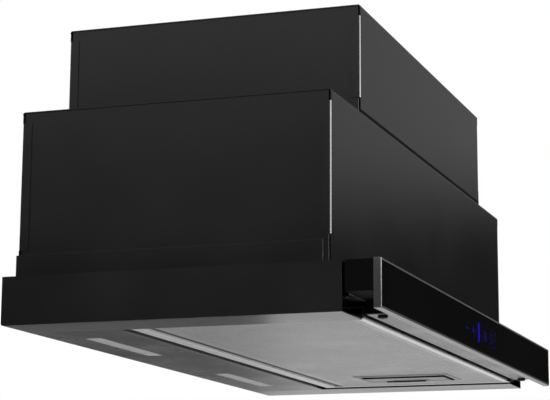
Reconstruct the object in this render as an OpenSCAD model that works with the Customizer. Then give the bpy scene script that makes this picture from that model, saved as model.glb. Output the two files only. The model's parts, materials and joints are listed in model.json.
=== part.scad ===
// Pull out range hood for a 60 cm wall cabinet, closed.
// Origin: bottom centre of the closed hood. +Z up, the glass front faces -Y, +X is the cook's right.

/* [Overall] */
// Width of the base and of the front panel
hood_w = 596; // [560:1:900]
// Depth from the face of the front panel to the rear
hood_d = 296; // [290:1:330]
// Height of the steel body, without the outlet collar
body_h = 256; // [250:1:290]

/* [Base frame] */
// Height of the side bands
band_h = 37; // [36:1:48]
// Sheet thickness of the base frame
base_t = 1.2; // [0.8:0.1:1.6]
// Outer radius of the bend along the lower rear edge
base_bend_r = 2; // [1.5:0.5:4]
// Width of the flange under each side
side_flange_w = 48; // [40:1:60]
// Width of the shelf edge that the lower box stands on
shelf_lip = 8; // [5:1:12]
// Depth of the step in the shelf that the lower box stands in
shelf_step = 1; // [0.5:0.1:2]
// Diameter of the cabinet screw holes
fix_hole_d = 4.5; // [4:0.1:6]
// Front to back distance of the cabinet screw holes
fix_pitch_y = 180; // [120:1:200]

/* [Steel body] */
// Thickness of the body sheets
sheet_t = 0.8; // [0.6:0.1:1.2]
// Distance from the side of the hood to the side of the lower box
box_inset = 22.5; // [20:0.5:30]
// Height of the top of the lower box above the underside
lower_top = 169; // [160:1:180]
// Set-back of the box front behind the glass face
box_setback = 44; // [42:1:60]
// Width of the motor box
upper_w = 395; // [360:1:460]
// Set-back of the motor box behind the lower box, front and rear
upper_step = 0.8; // [0.5:0.1:3]
// Width of the flange that is bent round each corner
corner_flange_w = 8; // [6:1:14]
// Distance between the end of a corner flange and the end of its sheet
corner_relief = 9; // [6:1:16]
// Outer radius of the bends in the body sheets
bend_r = 2; // [1.2:0.1:3]
// Height of the dark skirt above the base
skirt_h = 19.5; // [12:0.5:22]
// How far the skirt stands out from the side sheet
skirt_t = 1.8; // [1:0.1:3]

/* [Underside] */
// Depth of the lamp plate
lamp_plate_d = 75.5; // [72:0.5:90]
// Length of a lamp window
lamp_l = 130; // [90:1:150]
// Width of a lamp window
lamp_d = 14; // [10:1:24]
// Distance of a lamp's centre from the side of the hood
lamp_inset = 156; // [140:1:190]
// Distance of a lamp's centre from the rear
lamp_back = 33; // [25:1:45]
// Height of a lamp module above the lamp plate
lamp_h = 9; // [6:1:12]

/* [Grease filter] */
// Thickness of the filter cassette
filter_t = 9; // [7:0.5:9]
// Height of the filter's lower face above the underside
filter_z = 1; // [0.5:0.1:1.5]
// Gap between the filter and the lamp plate
filter_rear_gap = 5.5; // [4:0.5:10]
// Gap at each end of the filter
filter_end_gap = 2.5; // [2:0.1:4]
// Width of the polished rear rail of the filter
rear_rail_w = 10.5; // [8:0.5:18]
// Width of the other rails
rail_w = 5; // [4:0.5:8]
// Width of the sunk dark strip behind the perforated face
sunk_w = 6; // [5:1:12]
// Thickness of the filter's sheets
filter_sheet = 0.6; // [0.5:0.1:0.8]
// How far the latch handle slides
latch_slide_l = 6; // [4:0.5:8]
// Diameter of a latch bolt
bolt_d = 4; // [3:0.5:4]
// Width of the latch housing, along the filter
latch_w = 52; // [46:1:70]
// Length of the latch housing, across the filter
latch_l = 88; // [80:1:110]
// Distance of the latch housing from the filter's right end
latch_inset = 36; // [30:1:60]

/* [Front panel] */
// Thickness of the front panel
panel_t = 6; // [6:0.5:8]
// Thickness of the glass
glass_t = 4; // [3:0.5:4]
// Thickness of the metal rim round the glass
rim_t = 1.2; // [0.8:0.1:2]
// Height of the panel's lower edge above the underside
panel_z = 1.5; // [0.5:0.5:3]
// Height of the panel
panel_h = 36; // [34:1:44]
// Front to back size of the box behind the panel
crossmember_d = 21; // [18:1:24]
// Sheet thickness of the box behind the panel
crossmember_t = 1.2; // [1:0.1:1.5]
// Clear height under the ends of the box behind the panel
end_clear = 14; // [14:1:18]
// Height of the steel cover's lower face above the underside
cover_z = 3.7; // [3:0.1:6]
// Thickness of the steel cover and of the visor sheet
cover_t = 1.2; // [1:0.1:1.5]
// Diameter of the cover's screw heads
cover_screw_d = 7.5; // [5:0.5:8]

/* [Pull out runners] */
// How far the front pulls out
pull_l = 180; // [120:1:180]
// Length of the runner members
runner_l = 250; // [240:1:260]
// Height of the fixed runner member
runner_h = 27; // [26:1:28]
// Thickness of a runner, wall to carriage
runner_w = 10; // [9:0.5:11]
// Thickness of the runner steel
runner_t = 1.2; // [1:0.1:1.4]
// Diameter of the bearing balls
ball_d = 3.5; // [3:0.5:3.5]
// Clearance on each side of a ball
ball_gap = 0.05; // [0.02:0.01:0.1]
// Number of balls in a row
ball_n = 5; // [3:1:6]
// Distance between balls
ball_pitch = 13; // [10:0.5:14]

/* [Blower] */
// Outer radius of the impeller
impeller_r = 62; // [56:1:64]
// Radial depth of the impeller blades
blade_depth = 12; // [8:1:14]
// Number of blades
blade_n = 36; // [24:1:48]
// Thickness of a blade
blade_t = 1.2; // [0.8:0.1:1.6]
// How far a blade sweeps forward, in degrees
blade_sweep = 13; // [6:1:18]
// Overall length of the impeller
impeller_l = 96; // [80:1:110]
// Gap between the impeller and the scroll's tongue
tongue_gap = 5; // [4:0.5:8]
// How much the scroll widens over its turn
scroll_growth = 27; // [20:1:28]
// Wall of the scroll housing
scroll_t = 2; // [1.5:0.1:3]
// Gap between the impeller's end and the scroll's side wall
scroll_side_gap = 4; // [3:0.5:8]
// Height of the fan axis above the underside
fan_z = 150; // [145:1:156]
// Radius of the motor
motor_r = 40; // [34:1:42]
// Length of the motor
motor_l = 52; // [44:1:56]
// Radius of the motor shaft
shaft_r = 4; // [3:0.5:5]

/* [Outlet] */
// Outer diameter of the outlet collar
outlet_d = 149; // [147:1:150]
// Height of the collar above the steel body
collar_h = 36; // [30:1:50]
// Wall of the collar
collar_t = 2; // [1.6:0.1:2.5]
// Distance of the outlet's axis behind the glass face
outlet_back = 176; // [172:1:182]
// Width of the collar's flange
collar_flange_w = 14; // [12:1:18]
// Thickness of the non-return flaps
flap_t = 1.6; // [1.2:0.1:2]
// Radius of the flap spindle
spindle_r = 1.5; // [1.2:0.1:2]
// Running clearance round pins and shafts
run_gap = 0.05; // [0.02:0.01:0.1]
// Radius of the cable gland's bore
gland_bore_r = 3.8; // [3:0.1:4.5]

/* [Hidden] */
$fn = 48;
eps = 0.01;
air = 0.3;
side = [-1, 1];

front_y = -hood_d / 2;
rear_y = hood_d / 2;
front_d = panel_t + crossmember_d + 2;
base_front = front_y + front_d;
wall_x = hood_w / 2 - base_t;

lower_front = front_y + box_setback;
lower_rear = rear_y - 1;
lower_x = hood_w / 2 - box_inset;
upper_front = lower_front + upper_step;
upper_rear = lower_rear - upper_step;
upper_x = upper_w / 2;
box_side_x = lower_x - sheet_t;

skirt_setback = 6;
seat_z = band_h - shelf_step;
seat_gap = 0.3;
seat_x = box_side_x + skirt_t + seat_gap;
seat_y = lower_front - seat_gap;
flange_gap = 4;
fix_x = (lower_x + skirt_t + wall_x - runner_w) / 2;
fix_y = (base_front + rear_y) / 2;
upstand_lap = 6;
lamp_plate_gap = 2;

bay_x = hood_w / 2 - side_flange_w;
lamp_plate_y = rear_y - lamp_plate_d;
lamp_x = hood_w / 2 - lamp_inset;
lamp_y = rear_y - lamp_back;
ledge_z = filter_z + filter_t + 1;
lens_gap = 0.2;
lens_sunk = 0.3;
lens_lip = 2;
lens_lip_t = 1.5;
can_margin = 5;
can_wall = 2;
can_floor_t = 1.6;

filter_x = bay_x - filter_end_gap;
filter_rear = lamp_plate_y - filter_rear_gap;
filter_front = base_front - 0.5;
filter_top = filter_z + filter_t;
frame_lip_t = 1.2;
groove_d = 3;
bolt_rise = 5;
bolt_inset = 14;
latch_back = 7;
face_z = filter_z + frame_lip_t;
back_z = filter_top - frame_lip_t;
mesh_top = back_z - filter_sheet;
face_rear = filter_rear - rear_rail_w - sunk_w;
sunk_z = face_z + filter_sheet;
mesh_z = sunk_z + filter_sheet;
latch_x1 = filter_x - latch_inset;
latch_x0 = latch_x1 - latch_w;
latch_y = (filter_front + filter_rear) / 2 - latch_back;
latch_rim = 2;
latch_rim_t = 0.8;
latch_wall = 2;
latch_roof = 1;
handle_w = 40;
handle_chamfer = 8;
handle_drop = 0.6;
handle_roof = 1.2;
finger_w = 8;
finger_l = 36;
finger_inset = 3;
bolt_z = filter_z + bolt_rise;
bolt_y = latch_l / 2 - bolt_inset;
bolt_tail = 4;
hook_w = 20;
hook_t = 1.5;
hook_reach = 5;
hook_pitch = 110;

cross_y0 = front_y + panel_t;
cross_y1 = cross_y0 + crossmember_d;
cross_top = band_h;
cover_x = bay_x - 1;
cover_y1 = cross_y1 - 1.5;
cover_screw_inset = 9;
cover_screw_x = cover_x - cover_screw_inset;
cover_screw_y = (cross_y0 + cover_y1) / 2;
cover_screw_head_t = 2;
cover_screw_l = 7;
cover_screw_hex = 3;
cover_hole_gap = 0.2;
cover_lug_w = 16;
cover_lug_h = 6;
board_l = 150;
board_h = 22;
board_t = 1.6;
board_margin = 1;
board_z0 = cover_z + cover_t + 3;
board_chip = [12, 4, 7];
board_chip_z = 8;
board_chip_x = [-56, -30, 8, 40];
visor_z = end_clear;
visor_stay_l = 16;
visor_lip_h = 9;
visor_rear = cross_y1 + pull_l + visor_stay_l;

runner_z = band_h / 2 + 1;
runner_y0 = base_front + 7;
race_z = runner_h / 2 - runner_t;
inner_z = race_z - ball_d - 2 * ball_gap;
ball_z = race_z - ball_gap - ball_d / 2;
ball_u = runner_w * 0.6;
cage_l = ball_n * ball_pitch;
cage_t = 1;
cage_web_t = 0.5;
cage_gap = 0.25;
cage_edge = 0.6;
cage_hole_gap = 0.1;
inner_wall_gap = 1.6;
cage_y = runner_y0 + runner_l / 2;

outlet_y = front_y + outlet_back;
outlet_r = outlet_d / 2;
outlet_in_r = outlet_r - collar_t;
scroll_in = impeller_l / 2 + scroll_side_gap;
tongue_r = impeller_r + tongue_gap;
scroll_end_r = tongue_r + scroll_growth;
scroll_steps = 40;
blade_steps = 4;
// the square neck's corners lie just outside the round outlet
neck_w = ceil(sqrt(2) * (outlet_in_r + 1));
neck_rear = outlet_y + neck_w / 2;
neck_front = outlet_y - neck_w / 2;
neck_top = body_h - sheet_t;
neck_flange_r = outlet_in_r + 6;
neck_flange_t = 2;
fan_y = neck_rear - scroll_end_r;
inlet_r = impeller_r - blade_depth;
bellmouth_l = 5;
bellmouth_w = 4;
lug_r = 5;
lug_l = 7;
screw_r = 1.6;
screw_head_r = 3;
screw_head_t = 2;
screw_end_gap = 1;
web_t = 2;
ring_t = 2;
ring_rim = 1;
ring_inner_r = impeller_r - 4.3;
disc_r = impeller_r - 1.5;
hub_r = 10;
hub_x0 = -14;
hub_x1 = 3;
shaft_x0 = -20;
nut_r = 8;
nut_t = 4;

motor_x0 = 8;
motor_x1 = motor_x0 + motor_l;
motor_shoulder = 4;
motor_fin_t = 2;
motor_fin_h = 2;
motor_fin_n = 12;
motor_boss_r = 10;
motor_boss_h = 3;
bracket_t = 2;
bracket_r = 30;
bracket_arm_w = 14;
bracket_eye_r = 9;
mount_r = inlet_r + 12;
mount_t = 2;
mount_outer_r = 6;
mount_neck_r = 4;
mount_boss = motor_x1 - mount_t;
motor_screw_head_r = 4;
motor_screw_grip = 5;

ledge_w = 3.5;
spindle_z = body_h + 11;
flap_r = outlet_in_r - 1;
knuckle_r = 3.3;
knuckle_n = 3;
knuckle_w = 14;
collar_screw_n = 4;
collar_screw_r = 1.5;
collar_screw_gap = 0.4;
collar_screw_head_r = 3.4;
collar_screw_head_t = 2;
collar_screw_l = 8;
collar_flange_t = 2;
collar_taper = 0.8;
collar_taper_h = 3;
ledge_t = 1.5;
ledge_slope = 3.5;

gland_inset_x = 80;
gland_inset_y = 30;
gland_x = gland_inset_x - upper_x;
gland_y = upper_rear - gland_inset_y;
gland_wall = 4;
gland_r = gland_bore_r + gland_wall;
gland_hex_w = 4;
gland_hex_h = 6;
gland_below = 8;
gland_nut_h = 5;
gland_nut_gap = 3;
gland_cap_w = 2.5;
gland_cap_h = 10;

cap_r = 17;
cap_l = 62;
cap_front = 49;
cap_inset_x = 20;
clip_t = 1.2;
clip_w = 16;
clip_inset = 20;
clip_foot = 10;
cap_tag_l = 9;
cap_tag_w = 6;
cap_tag_t = 0.8;
cap_tag_pitch = 12;
cap_y = lower_front + cap_front;
cap_z = body_h - sheet_t - cap_r - clip_t;
cap_x = cap_inset_x - upper_x;

box_l = 92;
box_d = 46;
box_h = 58;
box_wall = 2;
box_lid_lip = 1;
box_inset_x = 16;
box_inset_y = 50;
box_slot_n = 6;
box_slot_pitch = 10;
box_slot_w = 4;
box_slot_inset = 8;
box_x0 = box_inset_x - upper_x;
box_z = body_h - sheet_t - box_h;
box_y1 = upper_rear - sheet_t - box_inset_y;

sensor_l = 20;
sensor_d = 12;
sensor_h = 11;
sensor_gap = 8;
sensor_lead = 4;
sensor_y = visor_rear + sensor_lead;
magnet_l = 16;
magnet_d = 8;
magnet_h = 6;

// A box given by its lowest and highest corner
module span(a, b) {
    translate(a) cube(b - a);
}

// Profile in the YZ plane, extruded along X from x0 to x1
module along_x(x0, x1) {
    translate([x0, 0, 0]) rotate([90, 0, 90]) linear_extrude(x1 - x0) children();
}

// Profile in the XZ plane, extruded along Y from y0 to y1
module along_y(y0, y1) {
    translate([0, y1, 0]) rotate([90, 0, 0]) linear_extrude(y1 - y0) children();
}

// A rod along X
module rod_x(x0, x1, r) {
    translate([x0, 0, 0]) rotate([0, 90, 0]) cylinder(h = x1 - x0, r = r);
}

// ---- Base frame and steel body

module base_profile() {
    r = base_bend_r;
    difference() {
        union() {
            span([-hood_w / 2, base_front, 0], [hood_w / 2, rear_y - r, band_h]);
            span([-hood_w / 2, rear_y - r - eps, r], [hood_w / 2, rear_y, band_h]);
            translate([0, rear_y - r, r]) rod_x(-hood_w / 2, hood_w / 2, r);
        }
        span([-wall_x, base_front - 1, base_t], [wall_x, rear_y - r, band_h - base_t]);
        span([-wall_x, rear_y - r - eps, r], [wall_x, rear_y - base_t, band_h - base_t]);
        translate([0, rear_y - r, r]) rod_x(-wall_x, wall_x, r - base_t);
        span([-seat_x, seat_y, seat_z], [seat_x, rear_y + 1, band_h + 1]);
    }
    // the sunk part of the shelf
    span([-seat_x - base_t, seat_y - base_t, seat_z - base_t], [seat_x + base_t, rear_y - eps, seat_z]);
}

module base_frame() {
    color("#1f1f1f") difference() {
        union() {
            base_profile();
            for (s = side) {
                // upstands beside the lamp compartment carry the filter's rear ledge
                span([min(s * bay_x, s * (bay_x + base_t)), filter_rear - upstand_lap, 0],
                    [max(s * bay_x, s * (bay_x + base_t)), rear_y - base_t, ledge_z + base_t]);
            }
            span([-bay_x, filter_rear - upstand_lap, ledge_z], [bay_x, lamp_plate_y + 1, ledge_z + base_t]);
        }
        // opening for the filter and the lamp plate
        span([-bay_x, base_front - 1, -1], [bay_x, rear_y - base_t - lamp_plate_gap, base_t]);
        // opening in the top, under the lower box
        span([shelf_lip - box_side_x, lower_front + shelf_lip, seat_z - 2 * base_t],
            [box_side_x - shelf_lip, lower_rear - shelf_lip, band_h + 1]);
        for (s = side, t = side) {
            translate([s * fix_x, fix_y + t * fix_pitch_y / 2, band_h - 2 * base_t])
                cylinder(h = 3 * base_t, d = fix_hole_d);
        }
    }
}

module skirt() {
    x0 = box_side_x;
    color("#1c1c1c") difference() {
        span([-x0 - skirt_t, lower_front + skirt_setback, seat_z], [x0 + skirt_t, rear_y, band_h + skirt_h]);
        span([-x0, lower_front, seat_z - 1], [x0, lower_rear, band_h + skirt_h + 1]);
    }
}

// A rectangle from a to b with its two upper corners rounded
module round_top(a, b, r) {
    translate(a) square([b.x - a.x, b.y - a.y - r]);
    translate([a.x + r, a.y]) square([b.x - a.x - 2 * r, b.y - a.y]);
    for (x = [a.x + r, b.x - r]) translate([x, b.y - r]) circle(r);
}

// A sheet bent over the front, the top and the rear of a box, with a flange bent round each corner
module wrap(x, y0, y1, z0, z1, foot) {
    difference() {
        along_x(-x, x) round_top([y0, z0], [y1, z1], bend_r);
        along_x(-x - 1, x + 1)
            round_top([y0 + sheet_t, z0 - 1], [y1 - sheet_t, z1 - sheet_t], bend_r - sheet_t);
        for (s = side, t = side) {
            place_corner(s, t, x, y0, y1) {
                // the front and the rear end flush with the side sheets where they aren't bent
                span([-1, -1, z0 - 1], [sheet_t, bend_r, z1 - bend_r]);
                span([-1, -1, z0 + foot + flange_gap], [bend_r - eps, bend_r, z1 - corner_relief]);
            }
        }
    }
    for (s = side, t = side) {
        place_corner(s, t, x, y0, y1) translate([0, 0, z0 + foot + flange_gap])
            linear_extrude(z1 - z0 - foot - flange_gap - corner_relief) bent_corner();
    }
}

// Moves a shape from the left front corner of a box to one of its four corners
module place_corner(s, t, x, y0, y1) {
    translate([s * x, t > 0 ? y1 : y0, 0]) mirror([s > 0 ? 1 : 0, 0, 0]) mirror([0, t > 0 ? 1 : 0, 0])
        children();
}

// Section of a corner bend and its flange, with the box's corner at the origin
module bent_corner() {
    difference() {
        translate([bend_r, bend_r]) circle(bend_r);
        translate([bend_r, bend_r]) circle(bend_r - sheet_t);
        translate([bend_r, -1]) square([2 * bend_r, 3 * bend_r]);
        translate([-1, bend_r]) square([3 * bend_r, 2 * bend_r]);
    }
    translate([0, bend_r - eps]) square([sheet_t, corner_flange_w - bend_r + eps]);
}

// A side sheet between the bends of a wrap, with its outer face at x
module side_sheet(s, x, y0, y1, z0, z1) {
    along_x(s > 0 ? x - sheet_t : -x, s > 0 ? x : sheet_t - x)
        round_top([y0 + bend_r, z0], [y1 - bend_r, z1 - sheet_t], bend_r - sheet_t);
}

module lower_wrap() {
    color("#262626") difference() {
        wrap(lower_x, lower_front, lower_rear, seat_z, lower_top, shelf_step + skirt_h);
        span([shelf_lip - upper_x, upper_front + shelf_lip, lower_top - 2],
            [upper_x - shelf_lip, upper_rear - shelf_lip, lower_top + 1]);
    }
}

module lower_side(s) {
    color("#262626") side_sheet(s, box_side_x, lower_front, lower_rear, seat_z, lower_top);
}

module upper_wrap() {
    color("#2f2f2f") difference() {
        wrap(upper_x, upper_front, upper_rear, lower_top, body_h, corner_flange_w);
        translate([0, outlet_y, body_h - 2]) cylinder(h = 4, r = outlet_in_r - ledge_w, $fn = 96);
        translate([gland_x, gland_y, body_h - 2]) cylinder(h = 4, r = gland_r);
        collar_screw_places() translate([0, 0, body_h - 2]) cylinder(h = 4, r = collar_screw_r);
    }
}

module upper_side(s) {
    color("#2f2f2f") side_sheet(s, upper_x - sheet_t, upper_front, upper_rear, lower_top, body_h);
}

// ---- Lamp plate and lamps

module lamp_plate() {
    color("#8c8c8c") difference() {
        union() {
            span([-bay_x, lamp_plate_y, 0], [bay_x, rear_y - base_t - lamp_plate_gap, base_t]);
            span([-bay_x, lamp_plate_y, 0], [bay_x, lamp_plate_y + sheet_t, ledge_z - air]);
        }
        for (s = side) {
            translate([s * lamp_x, lamp_y, 0]) lamp_window(0, -1, base_t + 1);
        }
    }
}

// The outline of a lamp window, with a margin, from z0 to z1
module lamp_window(margin, z0, z1) {
    span([-lamp_l / 2 - margin, -lamp_d / 2 - margin, z0],
        [lamp_l / 2 + margin, lamp_d / 2 + margin, z1]);
}

module lamp_lens(s) {
    color("#b8b8b8") translate([s * lamp_x, lamp_y, 0]) {
        lamp_window(-lens_gap, lens_sunk, base_t + eps);
        lamp_window(lens_lip, base_t, base_t + lens_lip_t);
    }
}

module lamp_board(s) {
    // a sheet steel can with the board as its floor, open towards the lens
    color("#d8d8d0") translate([s * lamp_x, lamp_y, 0]) difference() {
        lamp_window(can_margin, base_t, base_t + lamp_h);
        lamp_window(lens_lip, base_t - 1, base_t + lens_lip_t);
        lamp_window(can_margin - can_wall, base_t + lens_lip_t, base_t + lamp_h - can_floor_t);
    }
}

// ---- Grease filter

module filter_frame() {
    color("#b8b8b8") {
        difference() {
            union() {
                difference() {
                    span([-filter_x, filter_front, filter_z], [filter_x, filter_rear, filter_top]);
                    span([-filter_x + rail_w, filter_front + rail_w, filter_z - 1],
                        [filter_x - rail_w, filter_rear - rear_rail_w, filter_top + 1]);
                }
                for (t = side) {
                    // hooks that lie on the left flange of the base
                    translate([0, latch_y + t * hook_pitch / 2, 0])
                        span([-filter_x - hook_reach, -hook_w / 2, base_t + air],
                            [-filter_x + eps, hook_w / 2, base_t + air + hook_t]);
                }
            }
            // groove that holds the two sheets and the mesh
            in_groove(face_z, back_z, filter_rear - rear_rail_w + groove_d);
            latch_bolts(run_gap + air);
        }
        // sunk strip between the polished rail and the perforated face
        span([rail_w - filter_x - eps, face_rear - groove_d, sunk_z],
            [filter_x - rail_w + eps, filter_rear - rear_rail_w + groove_d + eps, mesh_z]);
    }
}

// A layer that lies in the groove of the frame, from z0 to z1 and back to y1
module in_groove(z0, z1, y1) {
    x = filter_x - rail_w + groove_d;
    span([-x, filter_front + rail_w - groove_d, z0], [x, y1, z1]);
}

// The two bolts of the latch, with a clearance
module latch_bolts(gap) {
    for (t = side) {
        translate([0, latch_y + t * bolt_y, bolt_z])
            rod_x(latch_x0 + handle_w - bolt_tail, bay_x - air, bolt_d / 2 + gap);
    }
}

module filter_face() {
    color("#9c9c9c") difference() {
        in_groove(face_z, sunk_z, face_rear);
        latch_opening();
    }
}

module filter_mesh() {
    color("#8a8a8a") difference() {
        in_groove(mesh_z, mesh_top, filter_rear - rear_rail_w + groove_d);
        latch_opening();
        for (t = side) {
            // channels for the bolts
            translate([0, latch_y + t * bolt_y, 0])
                span([latch_x1 - 1, -bolt_d / 2 - 1, mesh_z - 1], [filter_x, bolt_d / 2 + 1, mesh_top + 1]);
        }
    }
}

module filter_back() {
    color("#8a8a8a") in_groove(mesh_top, back_z, filter_rear - rear_rail_w + groove_d);
}

module latch_opening() {
    span([latch_x0, latch_y - latch_l / 2, filter_z - 1],
        [latch_x1, latch_y + latch_l / 2, mesh_top]);
}

// A shallow tray that is open below, in which the handle slides
module latch_housing() {
    y = latch_l / 2;
    w = latch_wall;
    color("#0c0c0c") difference() {
        translate([0, latch_y, 0]) difference() {
            union() {
                span([latch_x0, -y, face_z], [latch_x1, y, mesh_top]);
                span([latch_x0 - latch_rim, -y - latch_rim, face_z - latch_rim_t],
                    [latch_x1 + latch_rim, y + latch_rim, face_z]);
            }
            span([latch_x0 + w, w - y, face_z - 1], [latch_x1 - w, y - w, mesh_top - latch_roof]);
        }
        latch_bolts(run_gap + air);
    }
}

// The handle has chamfered corners and a slot for a fingertip, and carries the two bolts
module filter_handle() {
    x0 = latch_x0 + latch_wall + latch_slide_l + air;
    l = latch_l / 2 - latch_wall - air;
    c = handle_chamfer;
    z0 = face_z - handle_drop;
    z1 = mesh_top - latch_roof - air;
    color("#101010") difference() {
        union() {
            translate([x0, latch_y, z0]) linear_extrude(z1 - z0)
                polygon([[0, c - l], [c, -l], [handle_w, -l], [handle_w, l], [c, l], [0, l - c]]);
            intersection() {
                latch_bolts(0);
                span([x0 + handle_w - 1, -hood_d, 0], [bay_x, hood_d, filter_top]);
            }
        }
        translate([x0 + handle_w - finger_inset, latch_y, 0])
            span([-finger_w, -finger_l / 2, z0 - 1], [0, finger_l / 2, z1 - handle_roof]);
    }
}

// ---- Front panel and what is behind it

module front_glass() {
    color("#111113") span([-hood_w / 2 + rim_t, front_y, panel_z + rim_t],
        [hood_w / 2 - rim_t, front_y + glass_t, panel_z + panel_h - rim_t]);
}

module panel_frame() {
    color("#9a9a9a") difference() {
        span([-hood_w / 2, front_y, panel_z], [hood_w / 2, cross_y0, panel_z + panel_h]);
        span([-hood_w / 2 + rim_t, front_y - 1, panel_z + rim_t],
            [hood_w / 2 - rim_t, front_y + glass_t, panel_z + panel_h - rim_t]);
        // window behind the touch field
        span([-board_l / 2, front_y, board_z0], [board_l / 2, cross_y0 + 1, board_z0 + board_h]);
    }
}

module front_crossmember() {
    t = crossmember_t;
    color("#0a0a0a") difference() {
        union() {
            span([-hood_w / 2, cross_y0, end_clear], [hood_w / 2, cross_y1, cross_top]);
            span([-cover_x, cross_y0, cover_z + cover_t], [cover_x, cross_y1, end_clear + eps]);
        }
        span([-hood_w / 2 + t, cross_y0 - 1, end_clear + t], [hood_w / 2 - t, cross_y1 - t, cross_top - t]);
        span([-cover_x + t, cross_y0 - 1, cover_z], [cover_x - t, cross_y1 - t, end_clear + t + eps]);
        for (s = side) {
            translate([s * cover_screw_x, cover_screw_y, cover_z]) cylinder(h = 3, r = screw_r);
        }
    }
    // lugs that take the cover's screws
    color("#0a0a0a") for (s = side) {
        difference() {
            translate([s * cover_screw_x, cover_screw_y, cover_z + cover_t])
                span([-cover_lug_w / 2, cross_y0 - cover_screw_y, 0],
                    [cover_lug_w / 2, cross_y1 - t - cover_screw_y + eps, cover_lug_h]);
            translate([s * cover_screw_x, cover_screw_y, cover_z])
                cylinder(h = cover_lug_h + 2 * cover_t, r = screw_r);
        }
    }
}

module control_cover() {
    color("#a6a6a6") difference() {
        span([-cover_x, cross_y0, cover_z], [cover_x, cover_y1, cover_z + cover_t]);
        for (s = side) {
            translate([s * cover_screw_x, cover_screw_y, cover_z - 1])
                cylinder(h = cover_t + 2, r = screw_r + cover_hole_gap);
        }
    }
}

module cover_screws() {
    color("#151515") for (s = side) {
        translate([s * cover_screw_x, cover_screw_y, cover_z]) {
            translate([0, 0, -cover_screw_head_t]) difference() {
                cylinder(h = cover_screw_head_t, d = cover_screw_d);
                translate([0, 0, -1]) cylinder(h = cover_screw_head_t, d = cover_screw_hex, $fn = 6);
            }
            translate([0, 0, -eps]) cylinder(h = cover_screw_l, r = screw_r);
        }
    }
}

module control_board() {
    color("#1d4a2c") span([board_margin - board_l / 2, front_y + glass_t, board_z0 + board_margin],
        [board_l / 2 - board_margin, front_y + glass_t + board_t, board_z0 + board_h - board_margin]);
    color("#222222") for (x = board_chip_x) {
        translate([x, front_y + glass_t + board_t, board_z0 + board_chip_z]) cube(board_chip);
    }
}

// Tray behind the panel that comes out over the filter, with a flange up each side
module visor_sheet() {
    x = wall_x - runner_w;
    color("#8e8e8e") {
        span([-x, cross_y1, visor_z], [x, visor_rear, visor_z + cover_t]);
        for (s = side) {
            span([s > 0 ? x - cover_t : -x, cross_y1, visor_z],
                [s > 0 ? x : cover_t - x, visor_rear, runner_z + inner_z - 1]);
        }
        span([-x, visor_rear - cover_t, visor_z], [x, visor_rear, visor_z + visor_lip_h]);
    }
}

// ---- Runners; u is the distance from the wall of the base

module outer_profile() {
    h = runner_h / 2;
    polygon([[0, -h], [runner_w, -h], [runner_w, runner_t - h], [runner_t, runner_t - h],
        [runner_t, h - runner_t], [runner_w, h - runner_t], [runner_w, h], [0, h]]);
}

module inner_profile() {
    u = ball_u - ball_d / 2 - inner_wall_gap;
    polygon([[u, -inner_z], [runner_w, -inner_z], [runner_w, inner_z], [u, inner_z],
        [u, inner_z - runner_t], [runner_w - runner_t, inner_z - runner_t],
        [runner_w - runner_t, runner_t - inner_z], [u, runner_t - inner_z]]);
}

// Places a runner profile at the left or right wall
module at_wall(s, y0, y1) {
    translate([s * wall_x, 0, runner_z]) mirror([s > 0 ? 1 : 0, 0, 0]) along_y(y0, y1) children();
}

module runner_outer(s) {
    color("#c0c0c0") at_wall(s, runner_y0, runner_y0 + runner_l) outer_profile();
}

module runner_inner(s) {
    color("#b0b0b0") at_wall(s, cross_y1, runner_y0 + runner_l) inner_profile();
}

module ball_cage(s) {
    color("#a8a8a8") translate([s * wall_x, cage_y, runner_z]) mirror([s > 0 ? 1 : 0, 0, 0]) {
        difference() {
            for (t = side) {
                translate([0, 0, t * ball_z])
                    span([runner_t + cage_gap, -cage_l / 2, -cage_t / 2],
                        [runner_w - cage_edge, cage_l / 2, cage_t / 2]);
            }
            ball_places() cylinder(h = ball_d, r = ball_d / 2 + cage_hole_gap, center = true);
        }
        span([runner_t + cage_gap, -cage_l / 2, -ball_z],
            [runner_t + cage_gap + cage_web_t, cage_l / 2, ball_z]);
        ball_places() sphere(d = ball_d, $fn = 24);
    }
}

module ball_places() {
    for (t = side, i = [0 : ball_n - 1]) {
        translate([ball_u, (i - (ball_n - 1) / 2) * ball_pitch, t * ball_z]) children();
    }
}

// ---- Blower

// Spiral of the scroll from the tongue round to the rear wall, grown by a wall w
function scroll_a0(w) = acos((neck_front - w - fan_y) / (tongue_r + w));
function scroll_r(a) = tongue_r + scroll_growth * (a - scroll_a0(0)) / (360 - scroll_a0(0));
function scroll_points(w) = concat(
    [for (i = [0 : scroll_steps])
        let (a = scroll_a0(w) + (360 - scroll_a0(w)) * i / scroll_steps,
            r = (i == 0 ? tongue_r : scroll_r(a)) + w)
        [fan_y + r * cos(a), fan_z + r * sin(a)]],
    [[neck_rear + w, neck_top], [neck_front - w, neck_top]]);

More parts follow.
